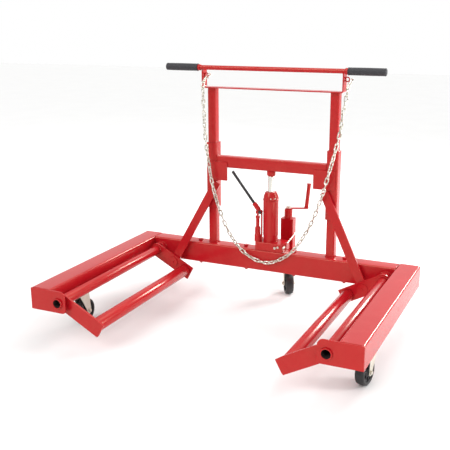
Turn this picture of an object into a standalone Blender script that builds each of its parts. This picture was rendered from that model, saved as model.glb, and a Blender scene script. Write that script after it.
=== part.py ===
"""Hydraulic dual-wheel dolly: a U-shaped frame on three swivel casters with two swinging roller arms.

A bottle jack on the cross beam lifts a carriage that slides on two posts. The carriage's braces carry
pins that run in slots in the arms, so the arms and their rollers swing up as the carriage rises.
Metres, +Z up, +X to the right, +Y away from the open end. The origin is on the floor, in the middle.
"""

import math

import bmesh
import bpy
from mathutils import Matrix, Vector

# Fits
GAP = 0.0003            # between pieces that touch or are welded
RUNNING = 0.0004        # radial clearance of a shaft in its bore
SLIDING = 0.0005        # clearance each side of a post in its sleeve

# Frame
WIDTH = 1.338           # over the two legs
TOP_Z = 0.242           # top of the legs and of the beam above the floor
LEG_W = 0.089
LEG_H = 0.089
LEG_WALL = 0.005
BEAM_D = 0.0745
BEAM_H = 0.095
BEAM_WALL = 0.005
FRONT_REACH = 0.818     # beam's front face to the front end of the pivot tubes
PLATE_T = 0.006         # end plates
PLATE_PROUD = 0.007     # pivot tube in front of its end plate
PLATE_INNER_X = 0.508   # inner edge of the end plates

# Roller arms
PIVOT_X = 0.5416
PIVOT_DROP = 0.0488     # pivot axis below the top of the legs
PIVOT_R = 0.0215
PIVOT_BORE = 0.017
ARM_ANGLE = math.radians(28.3)   # arms below horizontal at rest
ARM_L = 0.200
ARM_W = 0.064
ARM_T = 0.008
ARM_FRONT_BACK = 0.017  # end plate's rear face to the front arm plate
ARM_REAR_GAP = 0.041    # rear arm plate to the beam's front face
ROLLER_AT = 0.168       # along the arm from the pivot
ROLLER_R = 0.027
ROLLER_END_GAP = 0.005
AXLE_R = 0.010
PIN_AT = 0.0985         # lift pin along the arm from the pivot
PIN_R = 0.0058
WASHER_R = 0.0245       # washer on the lift pin, which covers the slot
WASHER_T = 0.0025
SLOT_HALF = 0.0092      # half width of the slot that the lift pin runs in
SLOT_IN = 0.084         # nearest slot centre to the pivot
SLOT_OUT = 0.1075

# Mast
POST_X = 0.2835
POST_W = 0.0381
POST_WALL = 0.003
POST_Y = 0.0488         # post axis behind the beam's front face
POST_H = 0.713
STRAP_T = 0.005
STRAP_W = 0.044
STRAP_Y = 0.036
STRAP_HALF = 0.3235
STRAP_RISE = 0.0735     # height of the upturned ends above the strap's top
STRAP_BEND = 0.008
BAR_R = 0.010
BAR_HALF = 0.4955
BAR_Y = 0.018
GRIP_R = 0.0165
GRIP_IN = 0.341
GRIP_OUT = 0.498
COLLAR_R = 0.0135
COLLAR_L = 0.012
EYE_Z = 0.050           # chain eyes above the strap
EYE_R = 0.009
EYE_WIRE = 0.0025

# Lifting carriage
SLEEVE_W = 0.0508
SLEEVE_Z0 = 0.170
SLEEVE_Z1 = 0.470
CROSS_Z0 = 0.361
CROSS_H = 0.051
CROSS_D = 0.038
GUSSET_T = 0.006
GUSSET_IN = 0.203
GUSSET_OUT = 0.300
GUSSET_Z0 = 0.302
GUSSET_Z1 = 0.386
BRACE_W = 0.038
BRACE_T = 0.010
BRACE_TOP_X = 0.2535
BRACE_TOP_Z = 0.2925

# Bottle jack
JACK_Y = 0.045
BASE_X0 = -0.058
BASE_X1 = 0.075
BASE_Y0 = 0.002
BASE_Y1 = 0.088
BASE_H = 0.038
CYL_R = 0.0345
CYL_TOP = 0.228
CAP_R = 0.0355
CAP_MID = 0.243
CAP_TOP = 0.266
CAP_TOP_R = 0.0258
RAM_R = 0.014
RAM_TOP = 0.336
SADDLE_R = 0.0195
PUMP_X = -0.052
PUMP_Y = 0.018
PUMP_R = 0.0145
PUMP_TOP = 0.105
PLUNGER_R = 0.008
PLUNGER_TOP = 0.147
PLUNGER_HEAD = 0.018
FULCRUM_X = -0.0385
FULCRUM_Z = 0.175
LINK_T = 0.007
SOCKET_R = 0.011
SOCKET_L = 0.033
HANDLE_R = 0.0066
HANDLE_ANGLE = math.radians(52.0)    # above horizontal, towards -X
HANDLE_L = 0.198
RELEASE_X = 0.084
RELEASE_R = 0.003
RELEASE_L = 0.153
RELEASE_TILT = math.radians(11.0)

# Rear caster jackscrew
REAR_X = 0.034
REAR_Y = 0.180
COLUMN_X = 0.061
COLUMN_Y = 0.044
COLUMN_WALL = 0.004
COLUMN_TOP = 0.116
COLUMN_BOTTOM = -0.072
TONGUE_W = 0.040
TONGUE_H = 0.050
TONGUE_TOP = -0.005
CAP_PLATE_T = 0.005     # plate that closes the column's top
HOUSING_R = 0.019
HOUSING_H = 0.043
SCREW_R = 0.008
CRANK_R = 0.082         # crank throw
CRANK_ANGLE = math.radians(25.0)
KNOB_LEAN = math.radians(5.5)     # the knob leans outwards
CRANK_W = 0.020
CRANK_T = 0.004
KNOB_R = 0.009
KNOB_H = 0.115
KNOB_RIM = 0.0105

# Casters
WHEEL_R = 0.0508
WHEEL_W = 0.036
TRAIL = 0.036
CASTER_Y = -0.562       # front caster swivel axes, from the beam's front face
MOUNT_X = 0.084
MOUNT_Y = 0.100
MOUNT_T = 0.004
RACE_R = 0.025
RACE_H = 0.013
YOKE_T = 0.0035
YOKE_GAP = 0.0022       # wheel to yoke leg
CASTER_AXLE_R = 0.005
LEFT_SWIVEL = math.radians(0.0)      # trail points to +Y
RIGHT_SWIVEL = math.radians(171.0)   # trail points nearly to -Y
REAR_SWIVEL = math.radians(-150.0)

# Bolts through the beam
BOLT_X = (-0.350, -0.1165, 0.1165, 0.350)
BOLT_Y = 0.040
BOLT_R = 0.006
HEX_R = 0.011
HEAD_H = 0.008
NUT_H = 0.011
BOLT_TAIL = 0.005

# Chain
CHAIN_D = 0.018
CHAIN_Y = -0.013        # plane that the chain hangs in, from the beam's front face
CHAIN_POINTS = 78

REAR_REACH = REAR_Y + MOUNT_Y / 2          # the rear caster's plate is the rearmost piece
BEAM_Y = (FRONT_REACH - REAR_REACH) / 2    # puts the origin in the middle of the length
PIVOT_Z = TOP_Z - PIVOT_DROP
LEG_X = (WIDTH - LEG_W) / 2
PLATE_Y = BEAM_Y - FRONT_REACH + PLATE_PROUD
ARM_FRONT_Y = PLATE_Y + PLATE_T + ARM_FRONT_BACK
ARM_REAR_Y = BEAM_Y - ARM_REAR_GAP - ARM_T
STRAP_Z = TOP_Z + POST_H + GAP
BAR_Z = STRAP_Z + STRAP_T + STRAP_RISE + GAP + BAR_R
SLEEVE_FRONT = POST_Y - SLEEVE_W / 2
ROUND = 28
WHEEL_FACETS = 32


def clear_scene():
    """Empties the scene."""
    for old in list(bpy.data.objects):
        bpy.data.objects.remove(old, do_unlink=True)


def paint(name, colour, roughness, metallic):
    """A Principled material."""
    made = bpy.data.materials.new(name)
    made.use_nodes = True
    shader = made.node_tree.nodes["Principled BSDF"]
    shader.inputs["Base Color"].default_value = (*colour, 1.0)
    shader.inputs["Roughness"].default_value = roughness
    shader.inputs["Metallic"].default_value = metallic
    made.diffuse_color = (*colour, 1.0)
    return made


def axis_empty(name, at, turn=(0.0, 0.0, 0.0), parent=None):
    """An empty on a joint's axis; the pieces that move with it are its children."""
    made = bpy.data.objects.new(name, None)
    made.empty_display_size = 0.03
    bpy.context.scene.collection.objects.link(made)
    made.location = at
    made.rotation_euler = turn
    made.parent = parent
    return made


def piece(name, bm, material=None, at=(0.0, 0.0, 0.0), turn=(0.0, 0.0, 0.0), parent=None, smooth=False):
    """Turns a bmesh into an object, outward-facing, placed by its location and rotation."""
    bmesh.ops.recalc_face_normals(bm, faces=bm.faces)
    mesh = bpy.data.meshes.new(name)
    bm.to_mesh(mesh)
    bm.free()
    made = bpy.data.objects.new(name, mesh)
    bpy.context.scene.collection.objects.link(made)
    made.location = at
    made.rotation_euler = turn
    made.parent = parent
    if material:
        mesh.materials.append(material)
    if smooth:
        mesh.shade_smooth()
        mesh.set_sharp_from_angle(angle=math.radians(35))
    return made


def helper(made, like):
    """Hides a Boolean's other operand and puts it in the same frame as the piece it works on."""
    made.parent = like.parent
    made.hide_render = True
    made.display_type = "WIRE"
    return made


def joined(base, others, operation="UNION"):
    """Adds or takes away the other objects from base with exact Booleans."""
    for other in others:
        helper(other, base)
        step = base.modifiers.new(f"{operation.lower()}_{other.name}", "BOOLEAN")
        step.operation = operation
        step.solver = "EXACT"
        step.object = other
    return base


def cut(base, others):
    """Takes the other objects away from base."""
    return joined(base, others, "DIFFERENCE")


def arc(cx, cy, radius, start, stop, steps):
    """Points on an arc, from start to stop in degrees."""
    angles = [math.radians(start + (stop - start) * i / steps) for i in range(steps + 1)]
    return [(cx + radius * math.cos(a), cy + radius * math.sin(a)) for a in angles]


def rounded(width, height, radius, steps=3):
    """The outline of a rectangle with rounded corners, about its centre."""
    x, y = width / 2 - radius, height / 2 - radius
    points = arc(x, y, radius, 0, 90, steps)
    points += arc(-x, y, radius, 90, 180, steps)
    points += arc(-x, -y, radius, 180, 270, steps)
    return points + arc(x, -y, radius, 270, 360, steps)


def along(axis, a, b, h):
    """A point from two coordinates across an axis and one along it, in X, Y, Z order."""
    return {"X": (h, a, b), "Y": (a, h, b), "Z": (a, b, h)}[axis]


def prism(outline, axis, low, high):
    """An outline extruded along an axis."""
    bm = bmesh.new()
    ends = [[bm.verts.new(along(axis, a, b, h)) for a, b in outline] for h in (low, high)]
    for loop in ends:
        bm.faces.new(loop)
    for i in range(len(outline)):
        j = (i + 1) % len(outline)
        bm.faces.new((ends[0][i], ends[0][j], ends[1][j], ends[1][i]))
    return bm


def tube(outer, inner, axis, low, high):
    """A hollow section: two outlines with the same number of points, extruded along an axis."""
    bm = bmesh.new()
    loops = []
    for outline, h in ((outer, low), (outer, high), (inner, high), (inner, low)):
        loops.append([bm.verts.new(along(axis, a, b, h)) for a, b in outline])
    for k in range(4):
        first, second = loops[k], loops[(k + 1) % 4]
        for i in range(len(outer)):
            j = (i + 1) % len(outer)
            bm.faces.new((first[i], first[j], second[j], second[i]))
    return bm


def block(x0, x1, y0, y1, z0, z1, bevel=0.0):
    """A box between limits, its edges bevelled when a bevel is given."""
    bm = prism([(x0, y0), (x1, y0), (x1, y1), (x0, y1)], "Z", z0, z1)
    if bevel:
        bmesh.ops.bevel(bm, geom=bm.edges[:], offset=bevel, segments=2, profile=0.5, affect="EDGES")
    return bm


def turned(profile, axis="Z", steps=ROUND):
    """A profile of (radius, height) pairs turned about an axis; radius 0 closes an end."""
    bm = bmesh.new()
    rings = []
    for radius, h in profile:
        if radius == 0:
            rings.append([bm.verts.new(along(axis, 0.0, 0.0, h))])
            continue
        angles = [2 * math.pi * (i + 0.5) / steps for i in range(steps)]
        rings.append([bm.verts.new(along(axis, radius * math.cos(t), radius * math.sin(t), h)) for t in angles])
    for first, second in zip(rings, rings[1:]):
        for i in range(steps):
            j = (i + 1) % steps
            corners = []
            for corner in (first[i % len(first)], first[j % len(first)]):
                if corner not in corners:
                    corners.append(corner)
            for corner in (second[j % len(second)], second[i % len(second)]):
                if corner not in corners:
                    corners.append(corner)
            bm.faces.new(corners)
    return bm


def rod(radius, low, high, axis="Z", steps=ROUND):
    """A plain cylinder."""
    return turned([(0, low), (radius, low), (radius, high), (0, high)], axis, steps)


def pipe(outer, inner, low, high, axis="Z", steps=ROUND):
    """A round tube, open at both ends."""
    angles = [2 * math.pi * (i + 0.5) / steps for i in range(steps)]
    rings = [[(r * math.cos(t), r * math.sin(t)) for t in angles] for r in (outer, inner)]
    return tube(rings[0], rings[1], axis, low, high)


def hexagon(radius, low, high, axis="Z"):
    """A hexagonal prism."""
    return rod(radius, low, high, axis, 6)


clear_scene()
RED = paint("red_paint", (0.60, 0.022, 0.035), 0.38, 0.0)
BLACK = paint("black_handle", (0.02, 0.02, 0.022), 0.5, 0.0)
GRIP = paint("grip_rubber", (0.03, 0.03, 0.034), 0.7, 0.0)
TYRE = paint("wheel_rubber", (0.018, 0.018, 0.020), 0.6, 0.0)
ZINC = paint("zinc_plate", (0.72, 0.68, 0.58), 0.35, 1.0)
CHROME = paint("ram_steel", (0.80, 0.78, 0.72), 0.15, 1.0)
CHAIN = paint("chain_steel", (0.78, 0.76, 0.70), 0.3, 1.0)


# Cross beam: a closed box section between the legs, with a bearing ring for each pivot tube.
def cross_beam():
    half = WIDTH / 2 - LEG_W - GAP
    section = rounded(BEAM_D, BEAM_H, 0.006)
    hollow = rounded(BEAM_D - 2 * BEAM_WALL, BEAM_H - 2 * BEAM_WALL, 0.003)
    at = (0.0, BEAM_Y + BEAM_D / 2, TOP_Z - BEAM_H / 2)
    beam = piece("cross_beam", tube(section, hollow, "X", -half, half), RED, at)
    rings = []
    holes = []
    for side in (-1, 1):
        ring = piece("bearing_ring", pipe(0.028, PIVOT_R + RUNNING, -0.021, 0.002, "Y"))
        ring.location = (side * PIVOT_X, BEAM_Y, PIVOT_Z)
        rings.append(ring)
    for x in BOLT_X:
        hole = piece("bolt_hole", rod(BOLT_R + RUNNING, -BEAM_H, BEAM_H, steps=16))
        hole.location = (x, BEAM_Y + BOLT_Y, TOP_Z - BEAM_H / 2)
        holes.append(hole)
    joined(beam, rings)
    return cut(beam, holes)


def beam_bolt(number, x):
    """A bolt through the beam, its head on top and its nut below."""
    under = -BEAM_H - GAP
    bolt = piece(f"beam_bolt_{number}", rod(BOLT_R, under - NUT_H - BOLT_TAIL, GAP + 0.002, steps=16), RED)
    bolt.location = (x, BEAM_Y + BOLT_Y, TOP_Z)
    head = piece("head", hexagon(HEX_R, GAP, GAP + HEAD_H), None, bolt.location)
    nut = piece("nut", hexagon(HEX_R, under - NUT_H, under), None, bolt.location)
    return joined(bolt, [head, nut])


def leg(name, side):
    """A channel bent from plate, open below, from its end plate back to the beam's rear face."""
    w, h, t, r = LEG_W / 2, LEG_H, LEG_WALL, 0.008
    outline = arc(-w + r, -r, r, 180, 90, 4) + arc(w - r, -r, r, 90, 0, 4)
    outline += [(w, -h), (w - t, -h)]
    outline += arc(w - r, -r, r - t, 0, 90, 3) + arc(-w + r, -r, r - t, 90, 180, 3)
    outline += [(-w + t, -h), (-w, -h)]
    low = PLATE_Y + PLATE_T + GAP
    high = BEAM_Y + BEAM_D
    return piece(name, prism(outline, "Y", low - BEAM_Y, high - BEAM_Y), RED, (side * LEG_X, BEAM_Y, TOP_Z))


def end_plate(name, side):
    """The plate across a leg's front end, which carries the pivot tube."""
    high, low = 0.022, 0.014
    outline = [(WIDTH / 2, 0.0), (WIDTH / 2, -LEG_H)]
    outline += arc(PLATE_INNER_X + low, -LEG_H + low, low, 270, 180, 4)
    outline += arc(PLATE_INNER_X + high, -high, high, 180, 90, 5)
    outline = [((x - PIVOT_X) * side, z + PIVOT_DROP) for x, z in outline]
    plate = piece(name, prism(outline, "Y", 0.0, PLATE_T), RED, (side * PIVOT_X, PLATE_Y, PIVOT_Z))
    bore = piece("bore", rod(PIVOT_R + RUNNING, -0.01, 0.02, "Y"), None, plate.location)
    return cut(plate, [bore])


def arm_plate(name, side, y, axis, slotted):
    """A flat arm welded on the pivot tube, in the frame of the arm's axis. It points inwards."""
    inward = -side
    half = ARM_W / 2
    outline = [(x * inward, z) for x, z in arc(0, 0, half, 90, 270, 12) + [(ARM_L, -half), (ARM_L, half)]]
    plate = piece(name, prism(outline, "Y", 0.0, ARM_T), RED, (0.0, y, 0.0), parent=axis)
    bore = piece("bore", rod(PIVOT_R + RUNNING, -0.01, 0.02, "Y"), None, plate.location)
    tools = [bore]
    if slotted:
        slot = arc(SLOT_OUT, 0, SLOT_HALF, -90, 90, 8) + arc(SLOT_IN, 0, SLOT_HALF, 90, 270, 8)
        slot = [(x * inward, z) for x, z in slot]
        tools.append(piece("slot", prism(slot, "Y", -0.01, 0.02), None, plate.location))
    return cut(plate, tools)


def roller_arm(word, side):
    """One arm: pivot tube, two plates, the roller's axle and the roller."""
    at = (side * PIVOT_X, BEAM_Y, PIVOT_Z)
    axis = axis_empty(f"{word}_arm_axis", at, (0.0, -side * ARM_ANGLE, 0.0))
    front = ARM_FRONT_Y - BEAM_Y
    rear = ARM_REAR_Y - BEAM_Y
    piece(f"{word}_pivot_tube", pipe(PIVOT_R, PIVOT_BORE, -FRONT_REACH, -0.0035, "Y"), RED, parent=axis, smooth=True)
    arm_plate(f"{word}_arm_front", side, front, axis, False)
    arm_plate(f"{word}_arm_rear", side, rear, axis, True)
    roller_x = -side * ROLLER_AT
    low, high = front + ARM_T, rear
    axle = rod(AXLE_R, low + GAP, high - GAP, "Y", 24)
    piece(f"{word}_roller_axle", axle, ZINC, (roller_x, 0.0, 0.0), parent=axis, smooth=True)
    spin = axis_empty(f"{word}_roller_axis", (roller_x, 0.0, 0.0), parent=axis)
    roller = pipe(ROLLER_R, AXLE_R + RUNNING, low + ROLLER_END_GAP, high - ROLLER_END_GAP, "Y")
    piece(f"{word}_roller", roller, RED, parent=spin, smooth=True)


def mast_post(name, side):
    """A square tube that stands on the beam."""
    section = rounded(POST_W, POST_W, 0.004, 2)
    hollow = rounded(POST_W - 2 * POST_WALL, POST_W - 2 * POST_WALL, 0.002, 2)
    return piece(name, tube(section, hollow, "Z", GAP, POST_H), RED, (side * POST_X, BEAM_Y + POST_Y, TOP_Z))


def top_strap():
    """The flat bar across the post tops, bent up at both ends, with an eye for the chain on each end."""
    h, t, r, rise = STRAP_HALF, STRAP_T, STRAP_BEND, STRAP_T + STRAP_RISE
    outline = [(-h, rise)] + arc(-h + r, r, r, 180, 270, 4) + arc(h - r, r, r, 270, 360, 4)
    outline += [(h, rise), (h - t, rise)]
    outline += arc(h - r, r, r - t, 360, 270, 3) + arc(-h + r, r, r - t, 270, 180, 3) + [(-h + t, rise)]
    low = BEAM_Y + STRAP_Y - STRAP_W / 2
    strap = piece("top_strap", prism(outline, "Y", 0.0, STRAP_W), RED, (0.0, low, STRAP_Z))
    eyes = []
    for face in (-h + t, h):
        loop = bmesh.new()
        place = Matrix.Translation((face + EYE_R, STRAP_W / 2, STRAP_T + EYE_Z)) @ Matrix.Rotation(math.pi / 2, 4, "X")
        rings = []
        for i in range(16):
            turn = 2 * math.pi * i / 16
            ring = []
            for k in range(8):
                across = 2 * math.pi * k / 8
                reach = EYE_R + EYE_WIRE * math.cos(across)
                point = (reach * math.cos(turn), reach * math.sin(turn), EYE_WIRE * math.sin(across))
                ring.append(loop.verts.new(place @ Vector(point)))
            rings.append(ring)
        for i in range(16):
            for k in range(8):
                n, m = (i + 1) % 16, (k + 1) % 8
                loop.faces.new((rings[i][k], rings[n][k], rings[n][m], rings[i][m]))
        eyes.append(piece("eye", loop, None, strap.location))
    return joined(strap, eyes)


def handle_bar():
    """The push bar on the strap's ends, with a welded collar inside each grip."""
    bar = piece("push_bar", rod(BAR_R, -BAR_HALF, BAR_HALF, "X", 24), RED, (0.0, BEAM_Y + BAR_Y, BAR_Z), smooth=True)
    collars = []
    for side in (-1, 1):
        start = side * (GRIP_IN - GAP)
        low, high = sorted((start, start - side * COLLAR_L))
        collars.append(piece("collar", rod(COLLAR_R, low, high, "X", 24), None, bar.location))
    return joined(bar, collars)


def grip(name, side):
    """A closed sleeve pushed on the bar's end."""
    bore = BAR_R + GAP
    ends = [(0, 0.0), (bore, 0.0), (bore, -(BAR_HALF - GRIP_IN)), (GRIP_R - 0.001, -(BAR_HALF - GRIP_IN))]
    ends += [(GRIP_R, -(BAR_HALF - GRIP_IN) + 0.002), (GRIP_R, 0.0005), (GRIP_R - 0.002, GRIP_OUT - BAR_HALF)]
    ends += [(0, GRIP_OUT - BAR_HALF)]
    ends = [(radius, side * (h + GAP)) for radius, h in ends]
    return piece(name, turned(ends, "X", 24), GRIP, (side * BAR_HALF, BEAM_Y + BAR_Y, BAR_Z), smooth=True)


def carriage():
    """The sleeves, cross bar, gussets and braces that the jack lifts on the posts."""
    axis = axis_empty("carriage_axis", (0.0, BEAM_Y + POST_Y, TOP_Z))
    section = rounded(SLEEVE_W, SLEEVE_W, 0.006, 2)
    hole = POST_W + 2 * SLIDING
    hollow = rounded(hole, hole, 0.003, 2)
    front = SLEEVE_FRONT - POST_Y
    inner = POST_X - SLEEVE_W / 2 - GAP
    for word, side in (("left", -1), ("right", 1)):
        sleeve = tube(section, hollow, "Z", SLEEVE_Z0, SLEEVE_Z1)
        piece(f"{word}_sleeve", sleeve, RED, (side * POST_X, 0.0, 0.0), parent=axis)
        low, high = sorted((side * GUSSET_IN, side * GUSSET_OUT))
        plate = block(low, high, front - GUSSET_T - GAP, front - GAP, GUSSET_Z0, GUSSET_Z1)
        piece(f"{word}_gusset", plate, RED, parent=axis)
        brace(word, side, axis)
    bar = rounded(CROSS_D, CROSS_H, 0.004, 2)
    core = rounded(CROSS_D - 0.008, CROSS_H - 0.008, 0.002, 2)
    at = (0.0, front + CROSS_D / 2, CROSS_Z0 + CROSS_H / 2)
    piece("cross_bar", tube(bar, core, "X", -inner, inner), RED, at, parent=axis)


def brace(word, side, axis):
    """A leaning flat bar from the sleeve down to the arm, with the lift pin welded in its lower end."""
    back = SLEEVE_FRONT - POST_Y - GAP
    top = Vector((BRACE_TOP_X, back - BRACE_T / 2 - 0.0004, BRACE_TOP_Z))
    pin_x = PIVOT_X - PIN_AT * math.cos(ARM_ANGLE)
    pin_z = -PIVOT_DROP - PIN_AT * math.sin(ARM_ANGLE)
    rear_face = ARM_REAR_Y + ARM_T - BEAM_Y - POST_Y
    low = Vector((pin_x, rear_face + BRACE_T / 2 + 0.003, pin_z))
    run = low - top
    length = run.length
    down = run.normalized()
    across = Vector((0.0, 1.0, 0.0)).cross(down).normalized()
    depth = down.cross(across)
    half = BRACE_W / 2
    outline = [(-half, 0.0), (half, 0.0)] + arc(0, length, half, 0, 180, 8)
    bm = prism(outline, "Z", -BRACE_T / 2, BRACE_T / 2)
    frame = Matrix((across, down, depth)).transposed().to_4x4()
    frame.translation = top
    bmesh.ops.transform(bm, matrix=frame, verts=bm.verts)
    bmesh.ops.scale(bm, vec=(side, 1.0, 1.0), verts=bm.verts)
    made = piece(f"{word}_brace", bm, RED, parent=axis)
    front = ARM_REAR_Y - BEAM_Y - POST_Y - 2 * RUNNING
    place = (side * pin_x, 0.0, pin_z)
    pin = piece("pin", rod(PIN_R, front - WASHER_T - 0.0035, low.y, "Y", 20), None, place)
    washer = piece("washer", rod(WASHER_R, front - WASHER_T, front, "Y", 36), None, place)
    return joined(made, [pin, washer])


def jack():
    """The bottle jack: base, cylinder, cap, ram and saddle, hand pump and release valve."""
    at = (0.0, BEAM_Y + JACK_Y, TOP_Z)
    front = -JACK_Y
    base = block(BASE_X0, BASE_X1, BASE_Y0 + front, BASE_Y1 + front, GAP, BASE_H, 0.002)
    base = piece("jack_base", base, RED, at)
    lug = block(BASE_X1 - 0.004, RELEASE_X + 0.008, front + 0.004, front + 0.020, 0.016, 0.044)
    lug = piece("lug", lug, None, at)
    joined(base, [lug])
    bottom = BASE_H + GAP
    bore = RAM_R + RUNNING
    wall = [(0, bottom), (CYL_R - 0.002, bottom), (CYL_R, bottom + 0.030), (CYL_R, CYL_TOP), (bore, CYL_TOP)]
    wall += [(bore, bottom + 0.020), (0, bottom + 0.020)]
    piece("jack_cylinder", turned(wall), RED, at, smooth=True)
    low = CYL_TOP + GAP
    cap = [(bore, low), (CAP_R, low), (CAP_R, CAP_MID), (CAP_TOP_R, CAP_TOP), (bore, CAP_TOP), (bore, low)]
    piece("jack_cap", closed_ring(cap), RED, at, smooth=True)
    lift = axis_empty("ram_axis", at)
    ram = rod(RAM_R, bottom + 0.034, RAM_TOP, steps=28)
    piece("ram", ram, CHROME, parent=lift, smooth=True)
    high = CROSS_Z0 - GAP
    low = RAM_TOP + GAP
    cup = [(0, low), (SADDLE_R - 0.004, low), (SADDLE_R, low + 0.005), (SADDLE_R, high), (0, high)]
    piece("saddle", turned(cup, steps=24), RED, parent=lift, smooth=True)
    return base


def closed_ring(profile):
    """A closed profile of (radius, height) pairs turned about Z: the last pair repeats the first."""
    bm = turned(profile)
    bmesh.ops.remove_doubles(bm, verts=bm.verts, dist=1e-6)
    return bm


def pump(base):
    """The hand pump: barrel, plunger, fulcrum link and bolt, lever socket and lever."""
    at = Vector((PUMP_X, BEAM_Y + PUMP_Y, TOP_Z))
    bore = PLUNGER_R + RUNNING
    low = BASE_H + GAP
    barrel = [(0, low), (PUMP_R, low), (PUMP_R, low + 0.030), (PUMP_R - 0.002, low + 0.032)]
    barrel += [(PUMP_R - 0.002, PUMP_TOP), (bore, PUMP_TOP), (bore, low + 0.010), (0, low + 0.010)]
    piece("pump_barrel", turned(barrel, steps=24), RED, at, smooth=True)
    slide = axis_empty("plunger_axis", at)
    plunger = piece("pump_plunger", rod(PLUNGER_R, low + 0.030, PLUNGER_TOP, steps=20), RED, parent=slide)
    head = piece("head", block(-0.008, 0.008, -0.007, 0.007, PLUNGER_TOP - 0.003, PLUNGER_TOP + 0.009))
    tip = piece("tip", block(-0.003, 0.003, -0.006, 0.006, PLUNGER_TOP + 0.008, PLUNGER_TOP + PLUNGER_HEAD - GAP))
    joined(plunger, [head, tip])
    # The link stands behind the socket's cheek, welded to the base.
    fulcrum = Vector((FULCRUM_X, BEAM_Y + PUMP_Y, TOP_Z + FULCRUM_Z))
    link_y = 0.0015
    link_foot = BASE_H - 0.003 - FULCRUM_Z
    outline = [(0.0010, link_foot), (0.0065, link_foot)] + arc(0, 0, 0.0080, -36, 200, 10) + [(0.0010, -0.014)]
    link = piece("link", prism(outline, "Y", link_y, link_y + LINK_T), None, fulcrum)
    hole = piece("hole", rod(0.0045 + RUNNING, -0.02, 0.02, "Y", 16), None, fulcrum)
    joined(base, [link])
    cut(base, [hole])
    axis = axis_empty("lever_axis", fulcrum)
    cheek_t = 0.008
    cheek_y = link_y - GAP - cheek_t
    nose = 0.021
    outline = arc(0, 0, 0.0085, -80, 100, 8) + [(-nose, 0.004), (-nose, -0.0085)]
    cheek = prism(outline, "Y", cheek_y, cheek_y + cheek_t)
    cheek = piece("lever_socket", cheek, RED, parent=axis)
    lean = HANDLE_ANGLE - math.pi / 2
    mid = cheek_y + cheek_t / 2
    start = 0.016
    socket = pipe(SOCKET_R, HANDLE_R + GAP, start, start + SOCKET_L, steps=24)
    socket = piece("socket", socket, None, (0.0, mid, 0.0), (0.0, lean, 0.0))
    plug = piece("plug", rod(SOCKET_R - 0.001, 0.0115, start + 0.006, steps=24), None, (0.0, mid, 0.0), (0.0, lean, 0.0))
    half = cheek_t / 2 - 0.0005
    tab = piece("tab", block(-0.008, 0.008, -half, half, 0.001, 0.020), None, (0.0, mid, 0.0), (0.0, lean, 0.0))
    pivot = piece("pivot", rod(0.0045 + RUNNING, -0.03, 0.03, "Y", 16), None, (0.0, 0.0, 0.0))
    joined(cheek, [socket, plug, tab])
    cut(cheek, [pivot])
    lever = rod(HANDLE_R, start + 0.007, start + 0.007 + HANDLE_L, steps=20)
    piece("pump_lever", lever, BLACK, (0.0, mid, 0.0), (0.0, lean, 0.0), parent=axis, smooth=True)
    bolt = rod(0.0045, cheek_y - GAP - 0.001, link_y + LINK_T + 0.001, "Y", 16)
    bolt = piece("fulcrum_bolt", bolt, BLACK, fulcrum)
    head = piece("head", hexagon(0.0078, cheek_y - GAP - 0.005, cheek_y - GAP, "Y"), None, fulcrum)
    return joined(bolt, [head])


def release_valve(base):
    """The rod that opens the jack's release valve, reaching back past the beam."""
    at = (RELEASE_X, BEAM_Y - 0.010, TOP_Z + 0.030)
    axis = axis_empty("release_axis", at, (RELEASE_TILT, 0.0, 0.0))
    tip = [(0, -0.008), (0.0048, -0.006), (0.0048, 0.008), (RELEASE_R, 0.010), (RELEASE_R, RELEASE_L)]
    tip += [(0, RELEASE_L)]
    made = piece("release_rod", turned(tip, "Y", 16), ZINC, parent=axis, smooth=True)
    bore = piece("bore", rod(RELEASE_R + RUNNING, 0.005, 0.09, "Y", 16), None, at, (RELEASE_TILT, 0.0, 0.0))
    cut(base, [bore])
    return made


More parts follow.
